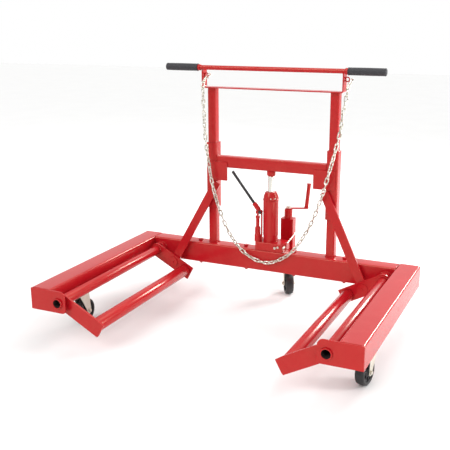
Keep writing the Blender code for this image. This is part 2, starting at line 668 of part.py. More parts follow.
def rear_column():
    """The column behind the beam, its jackscrew with crank, and the post that carries the rear caster."""
    at = (REAR_X, BEAM_Y + REAR_Y, TOP_Z)
    section = rounded(COLUMN_X, COLUMN_Y, 0.004, 2)
    inner_x = COLUMN_X - 2 * COLUMN_WALL
    inner_y = COLUMN_Y - 2 * COLUMN_WALL
    column = tube(section, rounded(inner_x, inner_y, 0.002, 2), "Z", COLUMN_BOTTOM, COLUMN_TOP)
    column = piece("rear_column", column, RED, at)
    near = -REAR_Y + BEAM_D + GAP
    far = -COLUMN_Y / 2 + COLUMN_WALL / 2
    tongue = block(-TONGUE_W / 2, TONGUE_W / 2, near, far, TONGUE_TOP - TONGUE_H, TONGUE_TOP)
    low = COLUMN_TOP - CAP_PLATE_T
    high = COLUMN_TOP + HOUSING_H
    lid = rounded(inner_x + COLUMN_WALL, inner_y + COLUMN_WALL, 0.002, 2)
    lid = piece("lid", prism(lid, "Z", low, COLUMN_TOP), None, at)
    housing = [(0, low + 0.001), (HOUSING_R, low + 0.001), (HOUSING_R, high), (0, high)]
    housing = piece("housing", turned(housing, steps=24), None, at)
    joined(column, [piece("tongue", tongue, None, at), lid, housing])
    cut(column, [piece("bore", rod(SCREW_R + RUNNING, low - 0.01, high + 0.01, steps=20), None, at)])
    slide = axis_empty("rear_post_axis", at)
    post = rounded(inner_x - 2 * RUNNING, inner_y - 2 * RUNNING, 0.0016, 2)
    post = piece("caster_post", prism(post, "Z", -LEG_H, 0.070), ZINC, parent=slide)
    cut(post, [piece("bore", rod(SCREW_R + 0.0015, -0.055, 0.08, steps=20), None)])
    crank = axis_empty("crank_axis", at, (0.0, 0.0, CRANK_ANGLE))
    top = high + GAP + CRANK_T
    screw = [(0, -0.030), (SCREW_R - 0.001, -0.030), (SCREW_R, -0.028), (SCREW_R, top + GAP)]
    screw += [(0.012, top + GAP), (0.012, top + 0.008), (0, top + 0.008)]
    piece("lift_screw", turned(screw, steps=20), ZINC, parent=crank, smooth=True)
    half = CRANK_W / 2
    outline = arc(0, 0, half + 0.002, 90, 270, 8) + arc(CRANK_R, 0, half, -90, 90, 8)
    arm = piece("crank_arm", prism(outline, "Z", top - CRANK_T, top), RED, parent=crank)
    knob = [(0, top - 0.001), (KNOB_RIM, top - 0.001), (KNOB_RIM, top + 0.004), (KNOB_R, top + 0.006)]
    knob += [(KNOB_R, top + KNOB_H - 0.006), (KNOB_RIM, top + KNOB_H - 0.005), (KNOB_RIM, top + KNOB_H)]
    knob += [(0, top + KNOB_H)]
    knob = [(radius, height - top) for radius, height in knob]
    knob = piece("knob", turned(knob, steps=20), None, (CRANK_R, 0.0, top), (0.0, KNOB_LEAN, 0.0))
    hole = piece("hole", rod(SCREW_R + RUNNING, top - 0.02, top + 0.02, steps=20), None)
    joined(arm, [knob])
    cut(arm, [hole])
    return slide


def caster(word, x, y, swivel, parent=None):
    """A plate caster: mounting plate with its raceway, swivelling yoke, axle bolt and wheel."""
    at = Vector((x, BEAM_Y + y, TOP_Z - LEG_H - GAP))
    if parent:
        at = at - parent.location
    hang = TOP_Z - LEG_H - GAP
    axle_z = WHEEL_R - hang
    low = -MOUNT_T - RACE_H
    plate = block(-MOUNT_X / 2, MOUNT_X / 2, -MOUNT_Y / 2, MOUNT_Y / 2, -MOUNT_T, 0.0)
    plate = piece(f"{word}_caster_plate", plate, ZINC, at, parent=parent)
    race = [(0, low), (RACE_R - 0.006, low), (RACE_R, low + 0.006), (RACE_R, -MOUNT_T + 0.001)]
    race += [(0, -MOUNT_T + 0.001)]
    joined(plate, [piece("race", turned(race, steps=24), None, at)])
    turn = axis_empty(f"{word}_swivel_axis", at, (0.0, 0.0, swivel), parent)
    inside = WHEEL_W / 2 + YOKE_GAP
    crown = low - GAP
    outline = arc(TRAIL, axle_z, 0.013, 180, 360, 8) + [(0.040, crown), (-0.022, crown)]
    yoke = piece(f"{word}_yoke", prism(rounded(2 * inside + 2 * YOKE_T, 0.050, 0.004, 2), "Z", crown - YOKE_T, crown))
    yoke.data.materials.append(ZINC)
    yoke.parent = turn
    sides = []
    for side in (-1, 1):
        first, second = sorted((side * inside, side * (inside + YOKE_T)))
        sides.append(piece("yoke_leg", prism(outline, "X", first, second)))
    joined(yoke, sides)
    hole = piece("hole", rod(CASTER_AXLE_R + RUNNING, -0.05, 0.05, "X", 16), None, (0.0, TRAIL, axle_z))
    cut(yoke, [hole])
    outer = inside + YOKE_T + GAP
    bolt = piece(f"{word}_caster_axle", rod(CASTER_AXLE_R, -outer - 0.001, outer + 0.008, "X", 16), ZINC)
    bolt.location = (0.0, TRAIL, axle_z)
    bolt.parent = turn
    head = piece("head", hexagon(0.0085, -outer - 0.005, -outer, "X"), None, bolt.location)
    nut = piece("nut", hexagon(0.0085, outer, outer + 0.006, "X"), None, bolt.location)
    joined(bolt, [head, nut])
    spin = axis_empty(f"{word}_wheel_axis", bolt.location, parent=turn)
    half = WHEEL_W / 2
    bore = CASTER_AXLE_R + RUNNING
    tread = [(bore, -half), (0.014, -half), (0.016, -half + 0.006), (0.036, -half + 0.006), (0.038, -half + 0.002)]
    rim = WHEEL_R / math.cos(math.pi / WHEEL_FACETS)      # so that a facet rests on the floor
    tread += [(rim - 0.005, -half + 0.001), (rim, -half + 0.007)]
    tread += [(radius, -h) for radius, h in reversed(tread)]
    tread.append(tread[0])
    wheel = turned(tread, "X", WHEEL_FACETS)
    bmesh.ops.remove_doubles(wheel, verts=wheel.verts, dist=1e-6)
    piece(f"{word}_wheel", wheel, TYRE, parent=spin, smooth=True)


def smooth_route(points, count):
    """Points evenly spaced along a smooth curve through the given ones (Catmull-Rom)."""
    points = [Vector(p) for p in points]
    padded = [2 * points[0] - points[1]] + points + [2 * points[-1] - points[-2]]
    fine = []
    for i in range(1, len(padded) - 2):
        a, b, c, d = padded[i - 1 : i + 3]
        for k in range(40):
            t = k / 40
            square, cube = t * t, t * t * t
            blend = 2 * b + (c - a) * t + (2 * a - 5 * b + 4 * c - d) * square + (3 * b - a - 3 * c + d) * cube
            fine.append(blend / 2)
    fine.append(points[-1])
    run = [0.0]
    for first, second in zip(fine, fine[1:]):
        run.append(run[-1] + (second - first).length)
    even = []
    place = 0
    for i in range(count):
        goal = run[-1] * i / (count - 1)
        while place < len(run) - 2 and run[place + 1] < goal:
            place += 1
        share = (goal - run[place]) / (run[place + 1] - run[place])
        even.append(fine[place].lerp(fine[place + 1], share))
    return even


def chain():
    """The safety chain, as a plain tube that hangs between the two eyes in front of the mast."""
    hang = CHAIN_Y
    eye_y = STRAP_Y
    left = [(-0.2865, eye_y - 0.006, 0.766), (-0.2955, eye_y - 0.018, 0.764), (-0.302, 0.004, 0.752)]
    left += [(-0.3045, hang + 0.004, 0.733), (-0.3035, hang, 0.700), (-0.301, hang, 0.625), (-0.293, hang, 0.482)]
    left += [(-0.277, hang, 0.370), (-0.256, hang, 0.263), (-0.223, hang, 0.164), (-0.172, hang, 0.060)]
    left += [(-0.098, hang, -0.019), (0.005, hang, -0.049), (0.101, hang, -0.004), (0.159, hang, 0.064)]
    left += [(0.211, hang, 0.160), (0.252, hang, 0.272), (0.285, hang, 0.394), (0.306, hang, 0.475)]
    left += [(0.323, hang, 0.550), (0.335, hang, 0.635), (0.3435, hang + 0.002, 0.690), (0.3475, 0.0, 0.735)]
    left += [(0.351, 0.014, 0.755), (0.3535, eye_y - 0.006, 0.766)]
    route = smooth_route([(x, BEAM_Y + y, TOP_Z + z) for x, y, z in left], CHAIN_POINTS)
    curve = bpy.data.curves.new("safety_chain", "CURVE")
    curve.dimensions = "3D"
    curve.bevel_depth = CHAIN_D / 2
    curve.bevel_resolution = 2
    curve.use_fill_caps = True
    spline = curve.splines.new("POLY")
    spline.points.add(len(route) - 1)
    for point, place in zip(spline.points, route):
        point.co = (*place, 1.0)
    made = bpy.data.objects.new("safety_chain", curve)
    bpy.context.scene.collection.objects.link(made)
    curve.materials.append(CHAIN)
    return made


cross_beam()
for number, bolt_x in enumerate(BOLT_X, 1):
    beam_bolt(number, bolt_x)
for word, side in (("left", -1), ("right", 1)):
    leg(f"{word}_leg", side)
    end_plate(f"{word}_end_plate", side)
    roller_arm(word, side)
    mast_post(f"{word}_post", side)
    grip(f"{word}_grip", side)
top_strap()
handle_bar()
carriage()
base = jack()
pump(base)
release_valve(base)
slide = rear_column()
caster("left", -LEG_X, CASTER_Y, LEFT_SWIVEL)
caster("right", LEG_X, CASTER_Y, RIGHT_SWIVEL)
caster("rear", REAR_X, REAR_Y, REAR_SWIVEL, slide)
chain()
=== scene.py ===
"""Hydraulic wheel dolly: a U-shaped frame on three casters, two roller arms, a mast with its lifting
carriage and bottle jack, a rear jackscrew and a safety chain, in a plain light studio."""

import math

import bmesh
import bpy
import numpy as np
from mathutils import Matrix, Vector


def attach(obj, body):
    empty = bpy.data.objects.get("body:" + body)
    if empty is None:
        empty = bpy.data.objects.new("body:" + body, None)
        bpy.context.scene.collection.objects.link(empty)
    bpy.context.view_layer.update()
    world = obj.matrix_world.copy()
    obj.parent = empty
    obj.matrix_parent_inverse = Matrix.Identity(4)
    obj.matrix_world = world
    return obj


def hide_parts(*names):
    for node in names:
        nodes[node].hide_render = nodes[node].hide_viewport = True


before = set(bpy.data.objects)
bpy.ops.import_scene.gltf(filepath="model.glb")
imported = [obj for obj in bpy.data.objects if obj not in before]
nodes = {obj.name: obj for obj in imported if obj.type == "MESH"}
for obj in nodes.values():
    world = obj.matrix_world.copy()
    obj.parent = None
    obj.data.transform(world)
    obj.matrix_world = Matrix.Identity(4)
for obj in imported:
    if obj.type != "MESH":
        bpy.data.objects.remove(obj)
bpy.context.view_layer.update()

# ---------------------------------------------------------------- studio
# A pale seamless floor in a room that is white behind the dolly and darker in front of it. Soft boxes hang
# overhead, behind, at the right and low over the floor, and a broad soft sun lights the front.
# Everything is measured from the front face of the cross beam and from the top of the legs.
BEAM_Y = 0.294
TOP_Z = 0.242
AIM, DISTANCE = (-0.0969, -0.2317, 0.1706), 3.2074
AZIMUTH, ELEVATION, ROLL = math.radians(25.238), math.radians(15.528), math.radians(-0.29)
SENSOR_WIDTH, LENS, CLIP_START = 36.0, 60.86, 0.05
LIGHTS = (  # name, place, point it faces, side in metres, power in watts
    ("top_light", (0.2, 0.9, 3.2), (0.0, 0.0, 0.2), 2.0, 22.0),
    ("rim_light", (1.2, 3.6, 2.0), (0.0, 0.0, 0.3), 1.0, 90.0),
    ("right_light", (3.4, 1.0, 1.5), (0.0, 0.0, 0.3), 1.2, 52.0),
    ("floor_glow", (2.7, -1.1, 0.45), (2.7, -1.1, 0.0), 1.1, 30.0),
)
SUN_POWER, SUN_SPREAD = 1.45, math.radians(35)
SUN_TURN = (math.radians(52), 0.0, math.radians(-22))
ROOM_FRONT, ROOM_BACK = (-0.9, 0.42), (0.25, 1.0)  # direction along y, brightness of the room there
FLOOR_HALF = 14.0
FLOOR_DULL, FLOOR_PALE = (0.86, 0.86, 0.855, 1.0), (0.90, 0.90, 0.895, 1.0)


def at(x, y, z):
    """A point given across the dolly, behind the beam's front face and above the leg tops."""
    return np.array((x, BEAM_Y + y, TOP_Z + z))


def spread(low, high, count):
    """Evenly spaced numbers from low to high."""
    return np.linspace(low, high, count)


camera = bpy.data.objects.new("camera", bpy.data.cameras.new("camera"))
bpy.context.scene.collection.objects.link(camera)
bpy.context.scene.camera = camera
level = math.cos(ELEVATION)
away = Vector((math.sin(AZIMUTH) * level, -math.cos(AZIMUTH) * level, math.sin(ELEVATION)))
tip = Matrix.Rotation(ROLL, 3, "Z")
camera.location = Vector(at(*AIM)) + DISTANCE * away
camera.rotation_euler = (away.to_track_quat("Z", "Y").to_matrix() @ tip).to_euler()
camera.data.sensor_width = SENSOR_WIDTH
camera.data.lens = LENS
camera.data.clip_start = CLIP_START

for name, place, target, size, power in LIGHTS:
    lamp = bpy.data.lights.new(name, "AREA")
    lamp.size = size
    lamp.energy = power
    soft_box = bpy.data.objects.new(name, lamp)
    bpy.context.scene.collection.objects.link(soft_box)
    soft_box.location = place
    soft_box.rotation_euler = (Vector(place) - Vector(target)).to_track_quat("Z", "Y").to_euler()
key = bpy.data.objects.new("key", bpy.data.lights.new("key", "SUN"))
key.data.energy = SUN_POWER
key.data.angle = SUN_SPREAD
key.rotation_euler = SUN_TURN
bpy.context.scene.collection.objects.link(key)

world = bpy.data.worlds.new("studio")
bpy.context.scene.world = world
world.use_nodes = True
# Painted faces turned to the front of the room keep a deep colour, while level faces mirror its white end.
sky = world.node_tree
sky.nodes["Background"].inputs["Color"].default_value = (1.0, 1.0, 1.0, 1.0)
direction = sky.nodes.new("ShaderNodeTexCoord")
split = sky.nodes.new("ShaderNodeSeparateXYZ")
fade = sky.nodes.new("ShaderNodeMapRange")
for label, value in zip(("From Min", "To Min", "From Max", "To Max"), ROOM_FRONT + ROOM_BACK):
    fade.inputs[label].default_value = value
sky.links.new(direction.outputs["Generated"], split.inputs["Vector"])
sky.links.new(split.outputs["Y"], fade.inputs["Value"])
sky.links.new(fade.outputs["Result"], sky.nodes["Background"].inputs["Strength"])
bpy.context.scene.view_settings.view_transform = "Standard"


class Amount:
    """A number that changes over a surface; arithmetic on it adds Math nodes."""

    def __init__(self, finish, socket):
        self.finish = finish
        self.socket = socket

    def _with(self, operation, first, second):
        return self.finish.node("ShaderNodeMath", {"operation": operation}, {0: first, 1: second})

    def __add__(self, other):
        return self._with("ADD", self, other)

    def __radd__(self, other):
        return self._with("ADD", other, self)

    def __rmul__(self, other):
        return self._with("MULTIPLY", other, self)


class Finish:
    """A Principled material: constants on its own sockets, patterns from nodes on object coordinates."""

    def __init__(self, name, **fixed):
        self.material = bpy.data.materials.new(name)
        self.material.use_nodes = True
        self.tree = self.material.node_tree
        self.shader = self.tree.nodes["Principled BSDF"]
        for label, value in fixed.items():
            socket = label.replace("_", " ").title().replace("Ior", "IOR")
            self.shader.inputs[socket].default_value = value
        self.place = self.node("ShaderNodeTexCoord", {}, {}, "Object")

    def node(self, kind, settings, inputs, out=0):
        """Adds a node, sets its settings first and then its sockets, and gives one output."""
        made = self.tree.nodes.new(kind)
        for key, value in settings.items():
            if key == "stops":
                ramp = made.color_ramp
                while len(ramp.elements) < len(value):
                    ramp.elements.new(0.5)
                for element, (position, shade) in zip(ramp.elements, value):
                    element.position = position
                    element.color = (shade, shade, shade, 1.0)
            else:
                setattr(made, key, value)
        for key, value in inputs.items():
            if isinstance(value, Amount):
                self.tree.links.new(value.socket, made.inputs[key])
            else:
                made.inputs[key].default_value = value
        return Amount(self, made.outputs[out])

    def noise(self, scale, detail=3.0, stretch=(1.0, 1.0, 1.0), rough=0.5):
        """Cloudy noise, 0 to 1, stretched along the axes given."""
        place = self.node("ShaderNodeMapping", {}, {"Vector": self.place, "Scale": stretch})
        inputs = {"Vector": place, "Scale": scale, "Detail": detail, "Roughness": rough}
        return self.node("ShaderNodeTexNoise", {}, inputs)

    def ramp(self, amount, stops):
        """The amount passed through brightness stops."""
        return self.node("ShaderNodeValToRGB", {"stops": stops}, {"Fac": amount})

    def mix(self, amount, first, second):
        """One colour blended into another: sockets 0, 6 and 7 are the share and the two colours, output 2
        is the blend."""
        return self.node("ShaderNodeMix", {"data_type": "RGBA"}, {0: amount, 6: first, 7: second}, 2)

    def bump(self, height, strength, distance):
        """Feeds the normal from a height."""
        inputs = {"Strength": strength, "Distance": distance, "Height": height}
        self.link("Normal", self.node("ShaderNodeBump", {}, inputs))

    def link(self, label, amount):
        """Feeds one of the shader's sockets."""
        self.tree.links.new(amount.socket, self.shader.inputs[label])


floor_finish = Finish("studio_floor", roughness=0.9, specular_ior_level=0.1)
cloud = floor_finish.noise(3.0)
floor_finish.link("Base Color", floor_finish.mix(cloud, FLOOR_DULL, FLOOR_PALE))
square = [(x * FLOOR_HALF, y * FLOOR_HALF, 0) for x, y in ((-1, -1), (1, -1), (1, 1), (-1, 1))]
ground = bpy.data.meshes.new("studio_floor")
ground.from_pydata(square, [], [(0, 1, 2, 3)])
ground.materials.append(floor_finish.material)
floor = bpy.data.objects.new("studio_floor", ground)
bpy.context.scene.collection.objects.link(floor)

# ---------------------------------------------------------------- safety chain
# Welded steel links, zinc plated, hung from an eye at each end of the top strap so that a wheel on the
# arms can't fall forward. Every second link stands at right angles to the one before.
CHAIN_WIRE = 0.0058
CHAIN_WIDTH = 0.018
CHAIN_PITCH = 0.0250
ROUTE_STEPS = 400
ZINC_DULL, ZINC_BRIGHT = (0.62, 0.58, 0.47, 1.0), (0.86, 0.84, 0.76, 1.0)
# The chain's dull colour is painted reflection, the dark surroundings a plated link would mirror; its bright
# colour is the plating.
CHAIN_PAINTED_DARK_REFLECTION, CHAIN_BRIGHT = (0.42, 0.39, 0.30, 1.0), (0.97, 0.96, 0.90, 1.0)
CHAIN_ROUTE = (
    (-0.2865, 0.030, 0.766), (-0.2955, 0.018, 0.764), (-0.302, 0.004, 0.752),
    (-0.3045, -0.009, 0.733), (-0.3035, -0.013, 0.700), (-0.301, -0.013, 0.625), (-0.293, -0.013, 0.482),
    (-0.277, -0.013, 0.370), (-0.256, -0.013, 0.263), (-0.223, -0.013, 0.164), (-0.172, -0.013, 0.060),
    (-0.098, -0.013, -0.019), (0.005, -0.013, -0.049), (0.101, -0.013, -0.004), (0.159, -0.013, 0.064),
    (0.211, -0.013, 0.160), (0.252, -0.013, 0.272), (0.285, -0.013, 0.394), (0.306, -0.013, 0.475),
    (0.323, -0.013, 0.550), (0.335, -0.013, 0.635), (0.3435, -0.011, 0.690), (0.3475, 0.000, 0.735),
    (0.351, 0.014, 0.755), (0.3535, 0.030, 0.766),
)


def through(points, count):
    """Points evenly spaced along the Catmull-Rom curve through the given ones: on each span the point is
    b + (c-a)t/2 + (2a-5b+4c-d)t^2/2 + (3b-a-3c+d)t^3/2, and the arc length is then divided evenly."""
    p = np.array(points, float)
    p = np.vstack([2 * p[0] - p[1], p, 2 * p[-1] - p[-2]])
    a, b, c, d = p[:-3, None], p[1:-2, None], p[2:-1, None], p[3:, None]
    t = np.linspace(0, 1, 40, endpoint=False)[None, :, None]
    fine = (2 * b + (c - a) * t + (2 * a - 5 * b + 4 * c - d) * t**2 + (3 * b - a - 3 * c + d) * t**3) / 2
    fine = np.vstack([fine.reshape(-1, 3), p[-2]])
    run = np.concatenate([[0], np.cumsum(np.linalg.norm(np.diff(fine, axis=0), axis=1))])
    goal = np.linspace(0, run[-1], count)
    return np.stack([np.interp(goal, run, fine[:, k]) for k in range(3)], axis=1), run[-1]


def quads(rows, ring, loop=False):
    """The four-sided faces of a grid whose rows are closed rings; loop joins the last row to the first."""
    i, j = np.meshgrid(np.arange(rows if loop else rows - 1), np.arange(ring), indexing="ij")
    n, k = (i + 1) % rows, (j + 1) % ring
    return np.stack([i * ring + j, i * ring + k, n * ring + k, n * ring + j], axis=-1).reshape(-1, 4)


def make(name, shells, finish, body, angle=32.0, stands_for=()):
    """One object from shells: each is a grid of points [row, ring, xyz] with how its ends are closed,
    "caps" for flat ends, "loop" where the last row meets the first, "open" for neither."""
    points, faces, start = [], [], 0
    for grid, ends in shells:
        rows, ring = grid.shape[:2]
        points.append(grid.reshape(-1, 3))
        faces += (quads(rows, ring, ends == "loop") + start).tolist()
        if ends == "caps":
            faces.append(list(range(start + ring - 1, start - 1, -1)))
            faces.append(list(range(start + (rows - 1) * ring, start + rows * ring)))
        start += rows * ring
    mesh = bpy.data.meshes.new(name)
    mesh.from_pydata(np.concatenate(points).tolist(), [], faces)
    work = bmesh.new()
    work.from_mesh(mesh)
    bmesh.ops.recalc_face_normals(work, faces=work.faces)
    work.to_mesh(mesh)
    work.free()
    mesh.shade_smooth()
    mesh.set_sharp_from_angle(angle=math.radians(angle))
    mesh.materials.append(finish.material)
    made = bpy.data.objects.new(name, mesh)
    bpy.context.scene.collection.objects.link(made)
    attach(made, body)
    if stands_for:
        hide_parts(*stands_for)
    return made


def unit(vector):
    """The vector at length 1, along the last axis."""
    vector = np.asarray(vector, float)
    return vector / np.linalg.norm(vector, axis=-1, keepdims=True)


def link_shell(centre, along, across, wire, width, length):
    """One chain link: a round wire carried round a stadium, two straight sides and two half circles.
    u goes round the stadium and v round the wire, so a point is path(u) + r cos v out(u) + r sin v up."""
    bend = (width - wire) / 2
    side = length / 2 - wire / 2 - bend
    turn = np.concatenate([spread(-np.pi / 2, np.pi / 2, 9), spread(np.pi / 2, 3 * np.pi / 2, 9)])
    shift = np.repeat([side, -side], 9)
    out = np.cos(turn)[:, None] * along + np.sin(turn)[:, None] * across
    path = centre + shift[:, None] * along + bend * out
    v = spread(0, 2 * np.pi, 10)[:-1]
    up = np.cross(along, across)
    return path[:, None] + wire / 2 * (np.cos(v)[None, :, None] * out[:, None] + np.sin(v)[None, :, None] * up)


zinc = Finish("zinc_plate", metallic=1.0, roughness=0.3)
grain = zinc.noise(260.0, 4.0)
blotch_and_painted_reflection = zinc.noise(34.0, 3.0)
zinc.link("Base Color", zinc.mix(blotch_and_painted_reflection, ZINC_DULL, ZINC_BRIGHT))
zinc.link("Roughness", 0.22 + 0.22 * grain)
zinc.bump(grain, 0.12, 0.0004)

pale_steel = Finish("chain_steel", metallic=1.0, roughness=0.3)
grain = pale_steel.noise(300.0, 4.0)
# Sharp dark patches on the chain's pale plating are painted reflection, standing in for the dark surroundings
# the links would mirror.
blotch_and_painted_reflection = pale_steel.ramp(pale_steel.noise(120.0, 3.0), ((0.40, 0.0), (0.60, 1.0)))
pale_steel.link("Base Color", pale_steel.mix(blotch_and_painted_reflection, CHAIN_PAINTED_DARK_REFLECTION, CHAIN_BRIGHT))
pale_steel.link("Roughness", 0.24 + 0.20 * grain)
pale_steel.bump(grain, 0.10, 0.0003)

route, chain_length = through([at(*point) for point in CHAIN_ROUTE], ROUTE_STEPS)
count = int(chain_length / CHAIN_PITCH)
number = np.arange(count)
run = (number + 0.5) / count * (len(route) - 1)
centres = np.stack([np.interp(run, np.arange(len(route)), route[:, k]) for k in range(3)], axis=1)
heading = unit(np.gradient(centres, axis=0))
side_on = unit(np.cross(heading, (0.0, 1.0, 0.0)))
face_on = np.cross(side_on, heading)
# Neighbouring links stand a quarter turn apart, and two slow waves twist the run as a slack chain twists.
wander = 0.35 * np.sin(number * 0.9) + 0.25 * np.sin(number * 0.37 + 1.0)
turn = np.pi / 4 * np.where(number % 2, 1.0, -1.0) + wander + 0.25
across = np.cos(turn)[:, None] * side_on + np.sin(turn)[:, None] * face_on
links = []
for centre, direction, sideways in zip(centres, heading, across):
    link_grid = link_shell(centre, direction, sideways, CHAIN_WIRE, CHAIN_WIDTH, CHAIN_PITCH + 2 * CHAIN_WIRE)
    links.append((link_grid, "loop"))
safety_chain = make("chain_links", links, pale_steel, "frame", 60.0, ("safety_chain",))

# ---------------------------------------------------------------- frame
# The cross beam is a closed box section, the legs are channels bent from plate and open below. All of it is
# welded, then sprayed with one coat of bright red enamel, which pools slightly and shows a fine orange peel.
WIDTH = 1.338
LEG_W, LEG_H, LEG_WALL = 0.089, 0.089, 0.005
LEG_X = (WIDTH - LEG_W) / 2
LEG_INSIDE = WIDTH / 2 - LEG_W
LEG_BEND, LEG_INNER_BEND = 0.0075, 0.003
BEAM_D, BEAM_H, BEAM_WALL, BEAM_BEND = 0.0745, 0.095, 0.005, 0.007
FRONT_REACH = 0.818
PLATE_FRONT = -FRONT_REACH + 0.007
PLATE_T = 0.006
PIVOT_X, PIVOT_DROP, PIVOT_R = 0.5416, 0.0488, 0.0215
RING_R, RING_FRONT, RING_BACK = 0.028, -0.021, 0.002
FIT = 0.0003  # left between two pieces that butt
THIN_BEAD, SMALL_BEAD, SIDE_BEAD = 0.0013, 0.0016, 0.0022
FULL_BEAD, WIDE_BEAD, HEAVY_BEAD = 0.0024, 0.0026, 0.0030
RIPPLE_PITCH = 0.0042
RED_DEEP, RED_BRIGHT = (0.425, 0.006, 0.012, 1.0), (0.500, 0.010, 0.018, 1.0)
RED_DUSTY, RED_PAINTED_WARM_LIGHT = (0.66, 0.12, 0.09, 1.0), (1.0, 0.84, 0.58, 1.0)

# The warm specular tint is painted light: it gives the level faces the salmon cast of a warm light from above.
red = Finish("red_enamel", roughness=0.26, specular_ior_level=0.45, specular_tint=RED_PAINTED_WARM_LIGHT)
pool = red.noise(7.0, 3.0)
peel = red.noise(520.0, 2.0)
dust = red.ramp(red.noise(18.0, 6.0, rough=0.65), ((0.48, 0.0), (0.85, 1.0)))
shade = red.mix(pool, RED_DEEP, RED_BRIGHT)
red.link("Base Color", red.mix(0.10 * dust, shade, RED_DUSTY))
red.link("Roughness", 0.17 + 0.06 * pool + 0.08 * dust)
red.bump(peel, 0.03, 0.0004)


def fillet(points, radius, steps, closed=True):
    """A polyline with each corner rounded: the corner is replaced by points on the circle of that radius
    that touches both sides, from one tangent point to the other."""
    p = np.array(points, float)
    rounded = [] if closed else [p[0]]
    picks = range(len(p)) if closed else range(1, len(p) - 1)
    for i in picks:
        here, back, ahead = p[i], p[i - 1] - p[i], p[(i + 1) % len(p)] - p[i]
        room = 0.48 * min(np.linalg.norm(back), np.linalg.norm(ahead))
        back, ahead = unit(back), unit(ahead)
        half = np.arccos(np.clip(back @ ahead, -1, 1)) / 2
        if half > 1.52:
            rounded.append(here)
            continue
        r = min(radius, room * np.tan(half))
        middle = here + unit(back + ahead) * r / np.sin(half)
        first, last = here + back * r / np.tan(half), here + ahead * r / np.tan(half)
        mix = spread(0, 1, steps)[:, None]
        swing = unit((1 - mix) * unit(first - middle) + mix * unit(last - middle))
        rounded += list(middle + r * swing)
    if not closed:
        rounded.append(p[-1])
    return np.array(rounded)


def frame_axes(axis):
    """The two directions across an axis, then the axis."""
    return {"X": ((0, 1, 0), (0, 0, 1), (1, 0, 0)), "Y": ((1, 0, 0), (0, 0, 1), (0, 1, 0)),
            "Z": ((1, 0, 0), (0, 1, 0), (0, 0, 1))}[axis]


def extruded(outline, axis, low, high, origin, ease):
    """A closed outline carried along an axis, with a small chamfer at both ends: row k is the outline,
    shrunk by the chamfer about its own edge normals on the first and last rows."""
    flat = np.array(outline, float)
    side = unit(np.roll(flat, -1, axis=0) - np.roll(flat, 1, axis=0))
    out = np.stack([side[:, 1], -side[:, 0]], axis=1)
    area = np.sum(flat[:, 0] * np.roll(flat[:, 1], -1) - flat[:, 1] * np.roll(flat[:, 0], -1))
    inner = flat - np.sign(area) * ease * out
    a, b, n = (np.array(v, float) for v in frame_axes(axis))
    rows = [(inner, low), (flat, low + ease), (flat, high - ease), (inner, high)]
    grid = [f[:, :1] * a + f[:, 1:] * b + h * n for f, h in rows]
    return np.array(grid) + np.array(origin, float), "caps"


def box_tube(width, height, wall, corner, axis, low, high, origin, ease=0.0006):
    """A rectangular hollow section with rounded corners: the outer wall, the end rims and the inner wall
    are rows of one ring grid, which closes on itself."""
    w, h = width / 2, height / 2
    outer = fillet([(-w, -h), (w, -h), (w, h), (-w, h)], corner, 6)
    w, h = w - wall, h - wall
    inner = fillet([(-w, -h), (w, -h), (w, h), (-w, h)], max(corner - wall, 0.0008), 6)
    rim = outer + (inner - outer) * ease / wall
    a, b, n = (np.array(v, float) for v in frame_axes(axis))
    rows = [(rim, low), (outer, low + ease), (outer, high - ease), (rim, high), (inner, high), (inner, low)]
    grid = [f[:, :1] * a + f[:, 1:] * b + h * n for f, h in rows]
    return np.array(grid) + np.array(origin, float), "loop"


def lathe(profile, origin, direction, steps=72, ends="caps", ease=0.0008):
    """A profile of (radius, distance) pairs turned about a line: the point at angle v is
    origin + r cos v a + r sin v b + h n, with a and b across the line's direction n."""
    n = unit(direction)
    a = unit(np.cross(n, (0.0, 0.0, 1.0) if abs(n[2]) < 0.9 else (0.0, 1.0, 0.0)))
    b = np.cross(n, a)
    eased = fillet(profile, ease, 3, closed=ends == "loop") if ease else np.array(profile, float)
    v = spread(0, 2 * np.pi, steps + 1)[:-1]
    ring = np.cos(v)[:, None] * a + np.sin(v)[:, None] * b
    grid = eased[:, :1, None] * ring[None] + eased[:, 1:, None] * n[None]
    return grid + np.asarray(origin, float), ends


def weld(points, radius, seed=0):
    """A weld bead: a tube of radius r(1 + 0.16 cos(2 pi s/pitch) + slow waver) carried along a path, its
    ends drawn in, like the overlapped ripples that a welder leaves."""
    points = np.array(points, float)
    length = np.linalg.norm(np.diff(points, axis=0), axis=1).sum()
    rows = max(8, int(length / 0.0011))
    run = np.concatenate([[0], np.cumsum(np.linalg.norm(np.diff(points, axis=0), axis=1))])
    goal = spread(0, run[-1], rows)
    path = np.stack([np.interp(goal, run, points[:, k]) for k in range(3)], axis=1)
    heading = unit(np.gradient(path, axis=0))
    helper = unit((0.31, 0.52, 0.79))
    if abs(heading[0] @ helper) >= 0.9:
        helper = np.array((1.0, 0.0, 0.0))
    a = unit(np.cross(heading, helper))
    b = np.cross(heading, a)
    swell = 1 + 0.16 * np.cos(2 * np.pi * goal / RIPPLE_PITCH + seed) + 0.10 * np.sin(goal * 310 + 2.1 * seed)
    taper = np.sqrt(np.clip(np.minimum(goal, run[-1] - goal) / radius, 0, 1) * 0.84 + 0.16)
    r = radius * swell * taper
    v = spread(0, 2 * np.pi, 9)[:-1]
    ring = np.cos(v)[None, :, None] * a[:, None] + np.sin(v)[None, :, None] * b[:, None]
    return path[:, None] + r[:, None, None] * ring, "caps"


def seam(start, stop, radius, seed=0):
    """A straight weld bead between two points given as at() takes them."""
    return weld([at(*start), at(*stop)], radius, seed=seed)


def circle(centre, radius, axis, start=0.0, stop=360.0, count=40):
    """Points round a circle in the plane across an axis."""
    a, b, _ = (np.array(v, float) for v in frame_axes(axis))
    turn = np.radians(spread(start, stop, count))
    return np.asarray(centre) + radius * (np.cos(turn)[:, None] * a + np.sin(turn)[:, None] * b)


